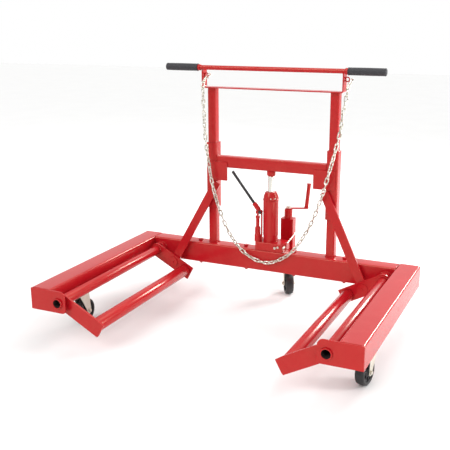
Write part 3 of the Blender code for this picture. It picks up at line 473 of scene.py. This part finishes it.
beam_half = LEG_INSIDE - FIT
beam_shell = box_tube(
    BEAM_D, BEAM_H, BEAM_WALL, BEAM_BEND, "X", -beam_half, beam_half, at(0, BEAM_D / 2, -BEAM_H / 2)
)
ring_bore = PIVOT_R + 0.0005
rings = []
for side in (-1, 1):
    ring = [(ring_bore, RING_FRONT), (RING_R, RING_FRONT), (RING_R, RING_BACK), (ring_bore, RING_BACK)]
    rings.append(lathe(ring, at(side * PIVOT_X, 0, -PIVOT_DROP), (0, 1, 0), ends="loop"))
    ring_foot = circle(at(side * PIVOT_X, -0.001, -PIVOT_DROP), RING_R + 0.0008, "Y")
    rings.append(weld(ring_foot, FULL_BEAD, seed=side))
make("beam_section", [beam_shell] + rings, red, "frame", stands_for=("cross_beam",))

for side, word in ((-1, "left"), (1, "right")):
    w, h, t = LEG_W / 2, LEG_H, LEG_WALL
    outer = fillet([(-w, -h), (-w, 0), (w, 0), (w, -h)], LEG_BEND, 8, closed=False)
    inner = fillet([(w - t, -h), (w - t, -t), (-w + t, -t), (-w + t, -h)], LEG_INNER_BEND, 6, closed=False)
    front = PLATE_FRONT + PLATE_T
    channel = extruded(np.vstack([outer, inner]), "Y", front, BEAM_D, at(side * LEG_X, 0, 0), 0.0005)
    make(f"{word}_leg_channel", [channel], red, "frame", stands_for=(f"{word}_leg",))
    inside, outside = side * LEG_INSIDE, side * (WIDTH / 2 - 0.0016)
    near, far = side * (LEG_X - 0.036), side * (LEG_X + 0.036)
    seams = [
        seam((inside, 0.004, 0.0), (inside, BEAM_D - 0.004, 0.0), SMALL_BEAD, side),
        seam((inside, -0.0004, -0.006), (inside, -0.0004, -0.084), FULL_BEAD, side + 2),
        seam((near, front, 0.0003), (far, front, 0.0003), THIN_BEAD, 3),
        seam((outside, front, -0.010), (outside, front, -0.080), THIN_BEAD, 5),
        seam((inside, front + 0.0004, -0.012), (inside, front + 0.0004, -0.082), FULL_BEAD, 7),
    ]
    make(f"{word}_leg_welds", seams, red, "frame", 60.0)

# ---------------------------------------------------------------- end plates
# Each leg is closed at the front by a flame-cut plate whose inner end is rounded about the pivot bore.
PLATE_INSIDE, PLATE_MIDDLE = 0.508, -0.045
PLATE_LOW_BEND, PLATE_TOP_BEND = 0.014, 0.022


def holed_plate(outline, bore, low, high, origin, ease=0.0009):
    """A plate with one round bore, cut to an outline that can be seen whole from the bore's centre: ring k
    goes from the bore's wall over the face to the edge and back over the other face. On every ring the
    points lie at the same angles about the bore."""
    flat = np.array(outline, float)
    turn = spread(0, 2 * np.pi, 145)[:-1]
    edges = np.roll(flat, -1, axis=0) - flat
    ray = np.stack([np.cos(turn), np.sin(turn)], axis=1)
    cross = ray[:, None, 0] * edges[None, :, 1] - ray[:, None, 1] * edges[None, :, 0]
    cross = np.where(np.abs(cross) < 1e-12, 1e-12, cross)
    far = (flat[None, :, 0] * edges[None, :, 1] - flat[None, :, 1] * edges[None, :, 0]) / cross
    share = (flat[None, :, 0] * ray[:, None, 1] - flat[None, :, 1] * ray[:, None, 0]) / cross
    hit = (far > 0) & (share >= -1e-9) & (share <= 1 + 1e-9)
    reach = np.min(np.where(hit, far, 9.0), axis=1)
    hole = bore + 0 * reach
    rows = [(hole, low), (hole + ease, low), (reach - ease, low), (reach, low + ease),
            (reach, high - ease), (reach - ease, high), (hole + ease, high), (hole, high)]
    grid = [np.stack([r * np.cos(turn), 0 * r + h, r * np.sin(turn)], axis=1) for r, h in rows]
    return np.array(grid) + np.asarray(origin, float), "loop"


for side, word in ((-1, "left"), (1, "right")):
    low_line = [(WIDTH / 2, -LEG_H), (PLATE_INSIDE, -LEG_H), (PLATE_INSIDE, PLATE_MIDDLE)]
    top_line = [(PLATE_INSIDE, PLATE_MIDDLE), (PLATE_INSIDE, 0.0), (WIDTH / 2, 0.0)]
    bottom = fillet(low_line, PLATE_LOW_BEND, 10, closed=False)
    top = fillet(top_line, PLATE_TOP_BEND, 14, closed=False)
    cut = np.vstack([bottom[:-1], top[1:]])
    cut = np.stack([(cut[:, 0] - PIVOT_X) * side, cut[:, 1] + PIVOT_DROP], axis=1)
    shell = holed_plate(cut, PIVOT_R + 0.0004, 0.0, PLATE_T, at(side * PIVOT_X, PLATE_FRONT, -PIVOT_DROP))
    make(f"{word}_end_cut", [shell], red, "frame", 40.0, (f"{word}_end_plate",))

# ---------------------------------------------------------------- roller arms
# Two flat bars are welded on a thick tube that turns in the end plate and the bearing ring. A second tube
# runs free on an axle between their outer ends, and the wheel to be lifted lies between the two.
ARM_ANGLE = math.radians(28.3)
ARM_L, ARM_W, ARM_T = 0.200, 0.064, 0.008
ARM_FRONT = PLATE_FRONT + PLATE_T + 0.017
ARM_REAR = -0.041 - ARM_T
TUBE_BORE, TUBE_BACK = 0.0170, -0.0035
ROLLER_AT, ROLLER_R, ROLLER_GAP, AXLE_R = 0.168, 0.027, 0.0055, 0.010
BORE_SHADE_DARK, BORE_SHADE_BROWN = (0.020, 0.012, 0.012, 1.0), (0.055, 0.022, 0.020, 1.0)

# Painted shade: a near-black, faintly brown-mottled lining just inside each pivot tube's bore darkens the deep
# bore.
bore_shade = Finish("tube_bore_painted_shade", roughness=0.8)
bore_shade.link("Base Color", bore_shade.mix(bore_shade.noise(90.0), BORE_SHADE_DARK, BORE_SHADE_BROWN))
bore_shade.bump(bore_shade.noise(300.0), 0.3, 0.0005)

for side, word in ((-1, "left"), (1, "right")):
    body = f"{word}_arm"
    tilt = np.array((-side * math.cos(ARM_ANGLE), 0.0, -math.sin(ARM_ANGLE)))
    lift = np.array((-side * math.sin(ARM_ANGLE), 0.0, math.cos(ARM_ANGLE)))
    pivot = at(side * PIVOT_X, 0, -PIVOT_DROP)
    tube = [(TUBE_BORE, -FRONT_REACH), (PIVOT_R, -FRONT_REACH), (PIVOT_R, TUBE_BACK), (TUBE_BORE, TUBE_BACK)]
    pivot_tube = lathe(tube, pivot, (0, 1, 0), ends="loop", ease=0.0012)
    beads = []
    for y, way in ((ARM_FRONT + ARM_T, 1), (ARM_REAR, -1)):
        bead_line = circle(pivot + (0, y + 0.0006 * way, 0), PIVOT_R + 0.0012, "Y", 0, 352)
        beads.append(weld(bead_line, 0.0028, seed=y * 40))
    make(f"{word}_pivot", [pivot_tube] + beads, red, body, stands_for=(f"{word}_pivot_tube",))
    # The lining is painted shade, set just inside the bore wall.
    skin, deep = TUBE_BORE - 0.0001, TUBE_BORE - 0.0004
    near, far = -FRONT_REACH + 0.0015, TUBE_BACK - 0.0015
    lining = [(skin, near), (deep, near), (deep, far), (skin, far)]
    make(f"{word}_bore_shade_lining", [lathe(lining, pivot, (0, 1, 0), ends="loop", ease=0)], bore_shade, body)
    turn = np.radians(spread(90, 270, 28))
    round_end = np.stack([np.cos(turn), np.sin(turn)], axis=1) * ARM_W / 2
    w = ARM_W / 2
    square_end = fillet([(0, -w), (ARM_L, -w), (ARM_L, w), (0, w)], 0.0015, 4)[4:-4]
    bar = np.vstack([round_end, square_end])
    placed = bar[:, :1] * tilt[[0, 2]] + bar[:, 1:] * lift[[0, 2]]
    shell = holed_plate(placed, PIVOT_R + 0.0003, 0.0, ARM_T, pivot + (0, ARM_FRONT, 0))
    make(f"{word}_arm_bar", [shell], red, body, 40.0, (f"{word}_arm_front",))
    axis = pivot + ROLLER_AT * tilt
    low, high = ARM_FRONT + ARM_T, ARM_REAR
    axle = [(AXLE_R, low + 0.0003), (AXLE_R, high - 0.0003)]
    axle_shell = lathe(axle, axis, (0, 1, 0), 40, ease=0)
    make(f"{word}_axle_rod", [axle_shell], zinc, body, stands_for=(f"{word}_roller_axle",))
    hub = AXLE_R + 0.0005
    near, far = low + ROLLER_GAP, high - ROLLER_GAP
    roll = [(hub, near), (ROLLER_R, near), (ROLLER_R, far), (hub, far)]
    roll_shell = lathe(roll, axis, (0, 1, 0), ends="loop", ease=0.0016)
    make(
        f"{word}_roller_tube", [roll_shell], red, f"{word}_roller",
        stands_for=(f"{word}_roller",),
    )

# ---------------------------------------------------------------- mast
# Two square tubes stand on the beam, joined at the top by a flat bar whose ends are bent up and carry the
# round push bar. The posts, strap and bar are welded together.
POST_X, POST_Y, POST_W, POST_H = 0.2835, 0.0488, 0.0381, 0.713
POST_WALL, POST_BEND, POST_BEAD = 0.003, 0.0045, 0.015
STRAP_Z, STRAP_T, STRAP_W, STRAP_Y, STRAP_HALF, STRAP_RISE = 0.7133, 0.005, 0.044, 0.036, 0.3235, 0.0735
STRAP_BEND, STRAP_INNER_BEND = 0.008, 0.003
BAR_Y, BAR_R, BAR_HALF = 0.018, 0.010, 0.4955
BAR_Z = STRAP_Z + STRAP_T + STRAP_RISE + 0.0003 + BAR_R
COLLAR_IN, COLLAR_OUT, COLLAR_R = 0.3287, 0.3407, 0.0135
EYE_R, EYE_WIRE, EYE_Z = 0.009, 0.0025, 0.050

for side, word in ((-1, "left"), (1, "right")):
    x = side * POST_X
    post = box_tube(POST_W, POST_W, POST_WALL, POST_BEND, "Z", FIT, POST_H, at(x, POST_Y, 0))
    foot = []
    h = POST_W / 2 + 0.0008
    for k, (dx, dy) in enumerate(((1, 0), (0, 1), (-1, 0), (0, -1))):
        a = (x + h * dx - POST_BEAD * dy, POST_Y + h * dy - POST_BEAD * dx, 0.0012)
        b = (x + h * dx + POST_BEAD * dy, POST_Y + h * dy + POST_BEAD * dx, 0.0012)
        foot.append(seam(a, b, HEAVY_BEAD, k + side))
    for dy in (-1, 1):
        y, z = POST_Y + dy * h, POST_H - 0.0006
        foot.append(seam((x - POST_BEAD, y, z), (x + POST_BEAD, y, z), SIDE_BEAD, dy))
    make(f"{word}_post_tube", [post] + foot, red, "frame", stands_for=(f"{word}_post",))

h, t, rise = STRAP_HALF, STRAP_T, STRAP_T + STRAP_RISE
outer = fillet([(-h, rise), (-h, 0), (h, 0), (h, rise)], STRAP_BEND, 10, closed=False)
inner = fillet([(h - t, rise), (h - t, t), (-h + t, t), (-h + t, rise)], STRAP_INNER_BEND, 8, closed=False)
near, far = STRAP_Y - STRAP_W / 2, STRAP_Y + STRAP_W / 2
strap = extruded(np.vstack([outer, inner]), "Y", near, far, at(0, 0, STRAP_Z), 0.0006)
v = spread(0, 2 * np.pi, 13)[:-1]
u = spread(0, 2 * np.pi, 33)[:-1]
reach = EYE_R + EYE_WIRE * np.cos(v)[None]
deep = EYE_WIRE * np.sin(v)[None] + 0 * u[:, None]
eye = np.stack([reach * np.cos(u)[:, None], deep, reach * np.sin(u)[:, None]], axis=2)
z = STRAP_Z + STRAP_T + EYE_Z
eyes = []
for face in (-h + t, h):
    eyes.append((eye + at(face + EYE_R, STRAP_Y, z), "loop"))
    eyes.append(seam((face, STRAP_Y - 0.004, z), (face, STRAP_Y + 0.004, z), WIDE_BEAD))
make("strap_bar", [strap] + eyes, red, "frame", 40.0, ("top_strap",))

bar_parts = [lathe([(BAR_R, -BAR_HALF), (BAR_R, BAR_HALF)], at(0, BAR_Y, BAR_Z), (1, 0, 0), 48, ease=0)]
for side in (-1, 1):
    low, high = sorted((side * COLLAR_OUT, side * COLLAR_IN))
    collar = [(BAR_R, low), (COLLAR_R, low), (COLLAR_R, high), (BAR_R, high)]
    bar_parts.append(lathe(collar, at(0, BAR_Y, BAR_Z), (1, 0, 0), 48, ease=0.002))
    x, z = side * (STRAP_HALF - STRAP_T / 2), BAR_Z - BAR_R + 0.002
    for dy in (-0.0085, 0.0085):
        bar_parts.append(seam((x - 0.003, BAR_Y + dy, z), (x + 0.003, BAR_Y + dy, z), 0.0032, dy * 900))
make("push_tube", bar_parts, red, "frame", stands_for=("push_bar",))

# ---------------------------------------------------------------- grips
# Moulded dark rubber sleeves pushed on the bar, slightly swollen at the middle, with a rolled collar at the
# inner end and a domed closed end.
GRIP_X, GRIP_L, GRIP_R, GRIP_SWELL = 0.341, 0.157, 0.0154, 0.0005
RIB_H, RIB_PITCH = 0.00035, 0.0065
GRIP_START = [(0.0103, 0.0), (0.0160, 0.0), (0.0165, 0.0012), (0.0165, 0.0030)]
GRIP_END = [(0.0160, GRIP_L - 0.0045), (0.0148, GRIP_L - 0.0020), (0.0120, GRIP_L - 0.0006), (0.0040, GRIP_L)]
GRIP_BLACK, GRIP_GREY = (0.022, 0.022, 0.026, 1.0), (0.050, 0.048, 0.054, 1.0)

rubber = Finish("grip_rubber", roughness=0.6, specular_ior_level=0.4)
mottle = rubber.noise(30.0, 4.0)
fine = rubber.noise(700.0, 2.0)
rubber.link("Base Color", rubber.mix(mottle, GRIP_BLACK, GRIP_GREY))
rubber.link("Roughness", 0.48 + 0.25 * mottle)
rubber.bump(fine + 0.5 * mottle, 0.25, 0.0006)

along = spread(0.004, GRIP_L - 0.007, 60)
ribs = RIB_H * np.cos(2 * np.pi * along / RIB_PITCH)
radius = GRIP_R + GRIP_SWELL * np.sin(np.pi * along / GRIP_L) + ribs
grip_line = np.vstack([GRIP_START, np.stack([radius, along], axis=1), GRIP_END])
for side, word in ((-1, "left"), (1, "right")):
    shell = lathe(grip_line, at(side * GRIP_X, BAR_Y, BAR_Z), (side, 0, 0), 48, ease=0)
    make(f"{word}_grip_sleeve", [shell], rubber, "frame", 50.0, (f"{word}_grip",))

# ---------------------------------------------------------------- carriage
# Thick square sleeves slide on the posts. A square bar joins them, with gusset plates lapped over the
# joints, and two flat braces lean forward and out to the rear arm plates.
SLEEVE_W, SLEEVE_WALL, SLEEVE_BEND, SLEEVE_Z0, SLEEVE_Z1 = 0.0508, 0.0055, 0.006, 0.170, 0.470
CROSS_Z0, CROSS_H, CROSS_D, CROSS_WALL, CROSS_BEND = 0.361, 0.051, 0.038, 0.004, 0.0045
CROSS_TOP = CROSS_Z0 + CROSS_H
SLEEVE_FRONT = POST_Y - SLEEVE_W / 2
GUSSET_IN, GUSSET_OUT, GUSSET_Z0, GUSSET_Z1, GUSSET_T = 0.203, 0.300, 0.302, 0.386, 0.006

half = POST_X - SLEEVE_W / 2 - FIT
middle = at(0, SLEEVE_FRONT + CROSS_D / 2, CROSS_Z0 + CROSS_H / 2)
cross = box_tube(CROSS_D, CROSS_H, CROSS_WALL, CROSS_BEND, "X", -half, half, middle)
make("cross_tube", [cross], red, "carriage", stands_for=("cross_bar",))
for side, word in ((-1, "left"), (1, "right")):
    place = at(side * POST_X, POST_Y, 0)
    sleeve = box_tube(SLEEVE_W, SLEEVE_W, SLEEVE_WALL, SLEEVE_BEND, "Z", SLEEVE_Z0, SLEEVE_Z1, place)
    make(f"{word}_sleeve_tube", [sleeve], red, "carriage", stands_for=(f"{word}_sleeve",))
    corners = [(GUSSET_IN, GUSSET_Z0), (GUSSET_OUT, GUSSET_Z0), (GUSSET_OUT, GUSSET_Z1), (GUSSET_IN, GUSSET_Z1)]
    outline = fillet(corners, 0.0022, 4)
    outline[:, 0] *= side
    back = SLEEVE_FRONT - FIT
    plate = extruded(outline, "Y", back - GUSSET_T, back, at(0, 0, 0), 0.0007)
    make(f"{word}_gusset_plate", [plate], red, "carriage", stands_for=(f"{word}_gusset",))
    joint, lip = side * (POST_X - SLEEVE_W / 2), side * (GUSSET_IN - 0.0004)
    y, edge = SLEEVE_FRONT - 0.0006, GUSSET_Z1 + 0.0005
    near, far = SLEEVE_FRONT + 0.004, SLEEVE_FRONT + CROSS_D - 0.004
    beads = [
        seam((joint, y, GUSSET_Z1 + 0.002), (joint, y, CROSS_TOP - 0.003), SIDE_BEAD, 1),
        seam((side * (GUSSET_IN + 0.004), y, edge), (side * 0.252, y, edge), FULL_BEAD, 2),
        seam((side * 0.264, y, edge), (side * (GUSSET_OUT - 0.003), y, edge), FULL_BEAD, 4),
        seam((lip, y, CROSS_Z0 + 0.002), (lip, y, GUSSET_Z1 - 0.003), SIDE_BEAD, 6),
        seam((joint, near, CROSS_TOP), (joint, far, CROSS_TOP), SIDE_BEAD),
        seam((side * 0.246, y - 0.004, 0.3005), (side * 0.276, y - 0.004, 0.3005), WIDE_BEAD, 9),
    ]
    make(f"{word}_carriage_welds", beads, red, "carriage", 60.0)

# ---------------------------------------------------------------- cut and drilled pieces
# Braces, slotted arm plates, bolts, the jack's base and the rear column keep their shape as fitted. Their
# edges are broken with a file before painting, which a narrow bevel gives.
FILED, FINE_FILED = 0.0006, 0.0004
SHARP = math.radians(38.0)
MERGE = 0.00001


def dress(name, finish, bevel=0.0007):
    """Paints a fitted piece and breaks its edges: equal points are welded, then sharp edges bevelled."""
    piece = nodes[name]
    piece.data.materials.clear()
    piece.data.materials.append(finish.material)
    if bevel:
        merge = piece.modifiers.new("merge", "WELD")
        merge.merge_threshold = MERGE
        edge = piece.modifiers.new("edge", "BEVEL")
        edge.width = bevel
        edge.segments = 2
        edge.limit_method = "ANGLE"
        edge.angle_limit = SHARP
        edge.use_clamp_overlap = True


for word in ("left", "right"):
    dress(f"{word}_brace", red)
    dress(f"{word}_arm_rear", red, FILED)
for piece in ("beam_bolt_1", "beam_bolt_2", "beam_bolt_3", "beam_bolt_4", "jack_base", "rear_column"):
    dress(piece, red, FILED)
for piece in ("crank_arm", "lever_socket", "pump_plunger"):
    dress(piece, red, FINE_FILED)

# ---------------------------------------------------------------- bottle jack
# A turned steel body with a domed cap on a gland ring, painted with the frame. The bright ram carries a
# round saddle under the cross bar, and a small pump at the left is worked by a black steel lever.
# Each outline below is a list of (radius, height) pairs.
UP, FORWARD = (0, 0, 1), (0, -1, 0)
JACK, PUMP, FULCRUM = at(0, 0.045, 0), at(-0.052, 0.018, 0), at(-0.0385, 0.018, 0.175)
BODY_LINE = [(0.0290, 0.0383), (0.0330, 0.0400), (0.0330, 0.0640), (0.0345, 0.0670), (0.0345, 0.2250)]
BODY_LINE += [(0.0335, 0.2278)]
GLAND_LINE = [(0.0345, 0.2283), (0.0362, 0.2290), (0.0362, 0.2330), (0.0352, 0.2340)]
CAP_LINE = [(0.0340, 0.2338), (0.0336, 0.2440), (0.0300, 0.2540), (0.0262, 0.2640), (0.0235, 0.2660)]
CAP_LINE += [(0.0160, 0.2660)]
RAM_LINE = [(0.0128, 0.063), (0.0140, 0.065), (0.0140, 0.3340), (0.0132, 0.3358)]
SADDLE_LINE = [(0.0150, 0.3363), (0.0185, 0.3400), (0.0195, 0.3440), (0.0195, 0.3600), (0.0180, 0.3607)]
PUMP_LINE = [(0.0145, 0.0383), (0.0145, 0.0680), (0.0125, 0.0705), (0.0125, 0.1000), (0.0112, 0.1050)]
PUMP_LINE += [(0.0084, 0.1050)]
LEVER_LEAN, LEVER_START, LEVER_L = math.radians(52.0), 0.023, 0.198
PLUG_LINE = [(0.0048, 0.0), (0.0062, 0.0012), (0.0062, 0.0050), (0.0035, 0.0062)]
SCREW_LINE = [(0.0040, 0.0), (0.0050, 0.001), (0.0050, 0.0038), (0.0030, 0.0048)]
GLINT_STUD_LINE = [(0.0030, 0.0), (0.0034, 0.0008), (0.0030, 0.0018), (0.0016, 0.0023)]
# Painted highlights: small bright zinc studs on the cap, set where its lower edge shows glints.
GLINT_STUD_TURNS, GLINT_STUD_AT, GLINT_STUD_Z = (-70.0, -38.0, 12.0), 0.0338, 0.2395
RAM_DULL, RAM_BRIGHT = (0.66, 0.64, 0.58, 1.0), (0.92, 0.90, 0.84, 1.0)
LEVER_BLACK, LEVER_WORN = (0.014, 0.014, 0.016, 1.0), (0.10, 0.095, 0.09, 1.0)

body_shell = lathe(BODY_LINE, JACK, UP, 96)
make("jack_body", [body_shell], red, "frame", stands_for=("jack_cylinder",))
cap_shells = [lathe(GLAND_LINE, JACK, UP, 96, ease=0), lathe(CAP_LINE, JACK, UP, 96)]
make("jack_gland", cap_shells, red, "frame", 25.0, ("jack_cap",))

ram_finish = Finish("ram_steel", metallic=1.0, roughness=0.16)
lines = ram_finish.noise(60.0, 4.0, stretch=(1.0, 1.0, 26.0))
ram_finish.link("Base Color", ram_finish.mix(lines, RAM_DULL, RAM_BRIGHT))
ram_finish.link("Roughness", 0.10 + 0.18 * lines)
ram_finish.bump(lines, 0.08, 0.0003)
ram_shell = lathe(RAM_LINE, JACK, UP, 64)
make("ram_rod", [ram_shell], ram_finish, "jack_ram", stands_for=("ram",))
saddle_shell = lathe(SADDLE_LINE, JACK, UP, 64)
make("saddle_cup", [saddle_shell], red, "jack_ram", stands_for=("saddle",))
pump_shell = lathe(PUMP_LINE, PUMP, UP, 56)
make("pump_body", [pump_shell], red, "frame", stands_for=("pump_barrel",))

black = Finish("black_lever", roughness=0.4, metallic=0.0, coat_weight=0.2)
scuff = black.ramp(black.noise(120.0, 5.0, rough=0.7), ((0.52, 0.0), (0.72, 1.0)))
black.link("Base Color", black.mix(0.5 * scuff, LEVER_BLACK, LEVER_WORN))
black.link("Roughness", 0.34 + 0.30 * scuff)
black.bump(black.noise(420.0), 0.15, 0.0004)
lever_way = np.array((-math.cos(LEVER_LEAN), 0.0, math.sin(LEVER_LEAN)))
near, far = LEVER_START, LEVER_START + LEVER_L
lever_line = [(0.0060, near), (0.0066, near + 0.001), (0.0066, far - 0.0015), (0.0052, far)]
lever_shell = lathe(lever_line, FULCRUM + (0, -0.0028, 0), lever_way, 40)
make("lever_rod", [lever_shell], black, "pump_lever", stands_for=("pump_lever",))
dress("fulcrum_bolt", black, FINE_FILED)
dress("release_rod", zinc, 0.0)

glint_studs_and_plugs = [
    lathe(PLUG_LINE, JACK + (0.038, -0.0432, 0.020), FORWARD, 6, ease=0),
    lathe(SCREW_LINE, JACK + (0.052, -0.0432, 0.024), FORWARD, 24, ease=0),
]
# These studs on the cap are painted highlight glints on its lower edge.
for degrees in GLINT_STUD_TURNS:
    out = np.array((math.cos(math.radians(degrees)), math.sin(math.radians(degrees)), 0.0))
    glint_studs_and_plugs.append(lathe(GLINT_STUD_LINE, JACK + GLINT_STUD_AT * out + (0, 0, GLINT_STUD_Z), out, 20, ease=0))
make("jack_plugs", glint_studs_and_plugs, zinc, "frame")
tacks = [weld(circle(JACK + (0, 0, 0.0388), 0.0335, "Z"), SMALL_BEAD, seed=2)]
for x in (-0.050, -0.015, 0.030, 0.064):
    tacks.append(seam((x - 0.007, 0.0016, 0.0008), (x + 0.007, 0.0016, 0.0008), 0.0018, x * 80))
make("jack_welds", tacks, red, "frame", 60.0)

# ---------------------------------------------------------------- rear jackscrew
# The rear caster hangs on a square post inside a column behind the beam. Turning the crank on top raises or
# lowers the tail of the dolly to tilt the wheel on the arms.
dress("lift_screw", zinc, 0.0)
dress("caster_post", zinc, 0.0005)

# ---------------------------------------------------------------- casters
# Plate casters with pressed yokes, zinc plated with a faint yellow tint, ball race above, and solid black
# wheels with a hard tread, ribbed web and pressed bearing.
WHEEL_R, WHEEL_W, TRAIL = 0.0508, 0.036, 0.036
SIDE_Y = WHEEL_W / 2
SHOULDER = [(0.0385, SIDE_Y - 0.0030), (0.0400, SIDE_Y - 0.0008), (0.0455, SIDE_Y - 0.0004)]
SHOULDER += [(0.0488, SIDE_Y - 0.0030)]
TYRE_BED = [(0.0375, SIDE_Y - 0.004), (0.0375, -SIDE_Y + 0.004)]
WEB_LINE = [(0.0380, -0.0110), (0.0300, -0.0070), (0.0190, -0.0085), (0.0150, -SIDE_Y), (0.0058, -SIDE_Y)]
RIB_CORNERS = ((0.0145, -1, 0.0158), (0.0145, 1, 0.0158), (0.0375, 1, 0.0120), (0.0375, -1, 0.0120))
RIB_COUNT, RIB_HALF, RIB_TURN = 6, 0.0022, 0.3
RACE_LINE = [(0.0180, -0.0165), (0.0285, -0.0165), (0.0292, -0.0140), (0.0285, -0.0085), (0.0262, -0.0062)]
RACE_LINE += [(0.0240, -0.0062), (0.0240, -0.0140), (0.0180, -0.0140)]
BOLT_LINE = [(0.0062, 0.0), (0.0062, -0.0042), (0.0050, -0.0052)]
BOLT_PLACES = [(dx, dy, -0.004) for dx in (-0.030, 0.030) for dy in (-0.038, 0.038)]
TREAD_BLACK, TREAD_WORN = (0.012, 0.012, 0.013, 1.0), (0.085, 0.083, 0.080, 1.0)
WEB_BLACK, WEB_GREY = (0.020, 0.020, 0.022, 1.0), (0.055, 0.055, 0.058, 1.0)
CASTERS = (  # name, place across and along, way it trails, body that carries its plate
    ("left", -LEG_X, -0.562, 0.0, "frame"),
    ("right", LEG_X, -0.562, math.radians(171), "frame"),
    ("rear", 0.034, 0.180, math.radians(-150), "rear_post"),
)

tread_rubber = Finish("wheel_rubber", roughness=0.55, specular_ior_level=0.5)
scuffed = tread_rubber.ramp(tread_rubber.noise(85.0, 5.0, rough=0.7), ((0.48, 0.0), (0.78, 1.0)))
tread_rubber.link("Base Color", tread_rubber.mix(0.45 * scuffed, TREAD_BLACK, TREAD_WORN))
tread_rubber.link("Roughness", 0.42 + 0.30 * scuffed)
tread_rubber.bump(tread_rubber.noise(380.0), 0.2, 0.0005)
web = Finish("wheel_web", roughness=0.5)
cast = web.noise(55.0, 4.0)
web.link("Base Color", web.mix(cast, WEB_BLACK, WEB_GREY))
web.link("Roughness", 0.38 + 0.25 * cast)
web.bump(web.noise(500.0), 0.2, 0.0004)

crown = spread(-1, 1, 9)
tread_line = np.stack([WHEEL_R - 0.0012 * crown**2, crown * (SIDE_Y - 0.006)], axis=1)
tyre_line = np.vstack([[(r, -d) for r, d in SHOULDER], tread_line, SHOULDER[::-1], TYRE_BED])
web_line = WEB_LINE + [(r, -d) for r, d in reversed(WEB_LINE)]
for word, x, y, swivel, holder in CASTERS:
    trail = np.array((-math.sin(swivel), math.cos(swivel), 0.0))
    axle = np.array((math.cos(swivel), math.sin(swivel), 0.0))
    centre = at(x, y, 0) + TRAIL * trail
    centre[2] = WHEEL_R
    tyre_shell = lathe(tyre_line, centre, axle, 96, "loop", 0)
    make(f"{word}_tyre", [tyre_shell], tread_rubber, f"{word}_wheel", 35.0, (f"{word}_wheel",))
    web_shells = [lathe(web_line, centre, axle, 72, "loop", 0.0012)]
    for k in range(RIB_COUNT):
        turn = k * 2 * math.pi / RIB_COUNT + RIB_TURN
        out = math.cos(turn) * trail + math.sin(turn) * np.array(UP, float)
        over = np.cross(axle, out)
        rib = [[out * r + over * s * RIB_HALF + axle * e * d for r, s, d in RIB_CORNERS] for e in (-1, 1)]
        web_shells.append((np.array(rib) + centre, "caps"))
    make(f"{word}_web", web_shells, web, f"{word}_wheel")
    dress(f"{word}_yoke", zinc, FILED)
    dress(f"{word}_caster_axle", zinc, 0.0005)
    dress(f"{word}_caster_plate", zinc, 0.0005)
    race = at(x, y, -LEG_H - 0.0003)
    race_shell = lathe(RACE_LINE, race, UP, 64, "loop", 0.0006)
    make(f"{word}_race_cup", [race_shell], zinc, f"{word}_swivel")
    if word != "rear":
        bolts = [lathe(BOLT_LINE, race + place, UP, 6, ease=0) for place in BOLT_PLACES]
        make(f"{word}_plate_bolts", bolts, zinc, holder)
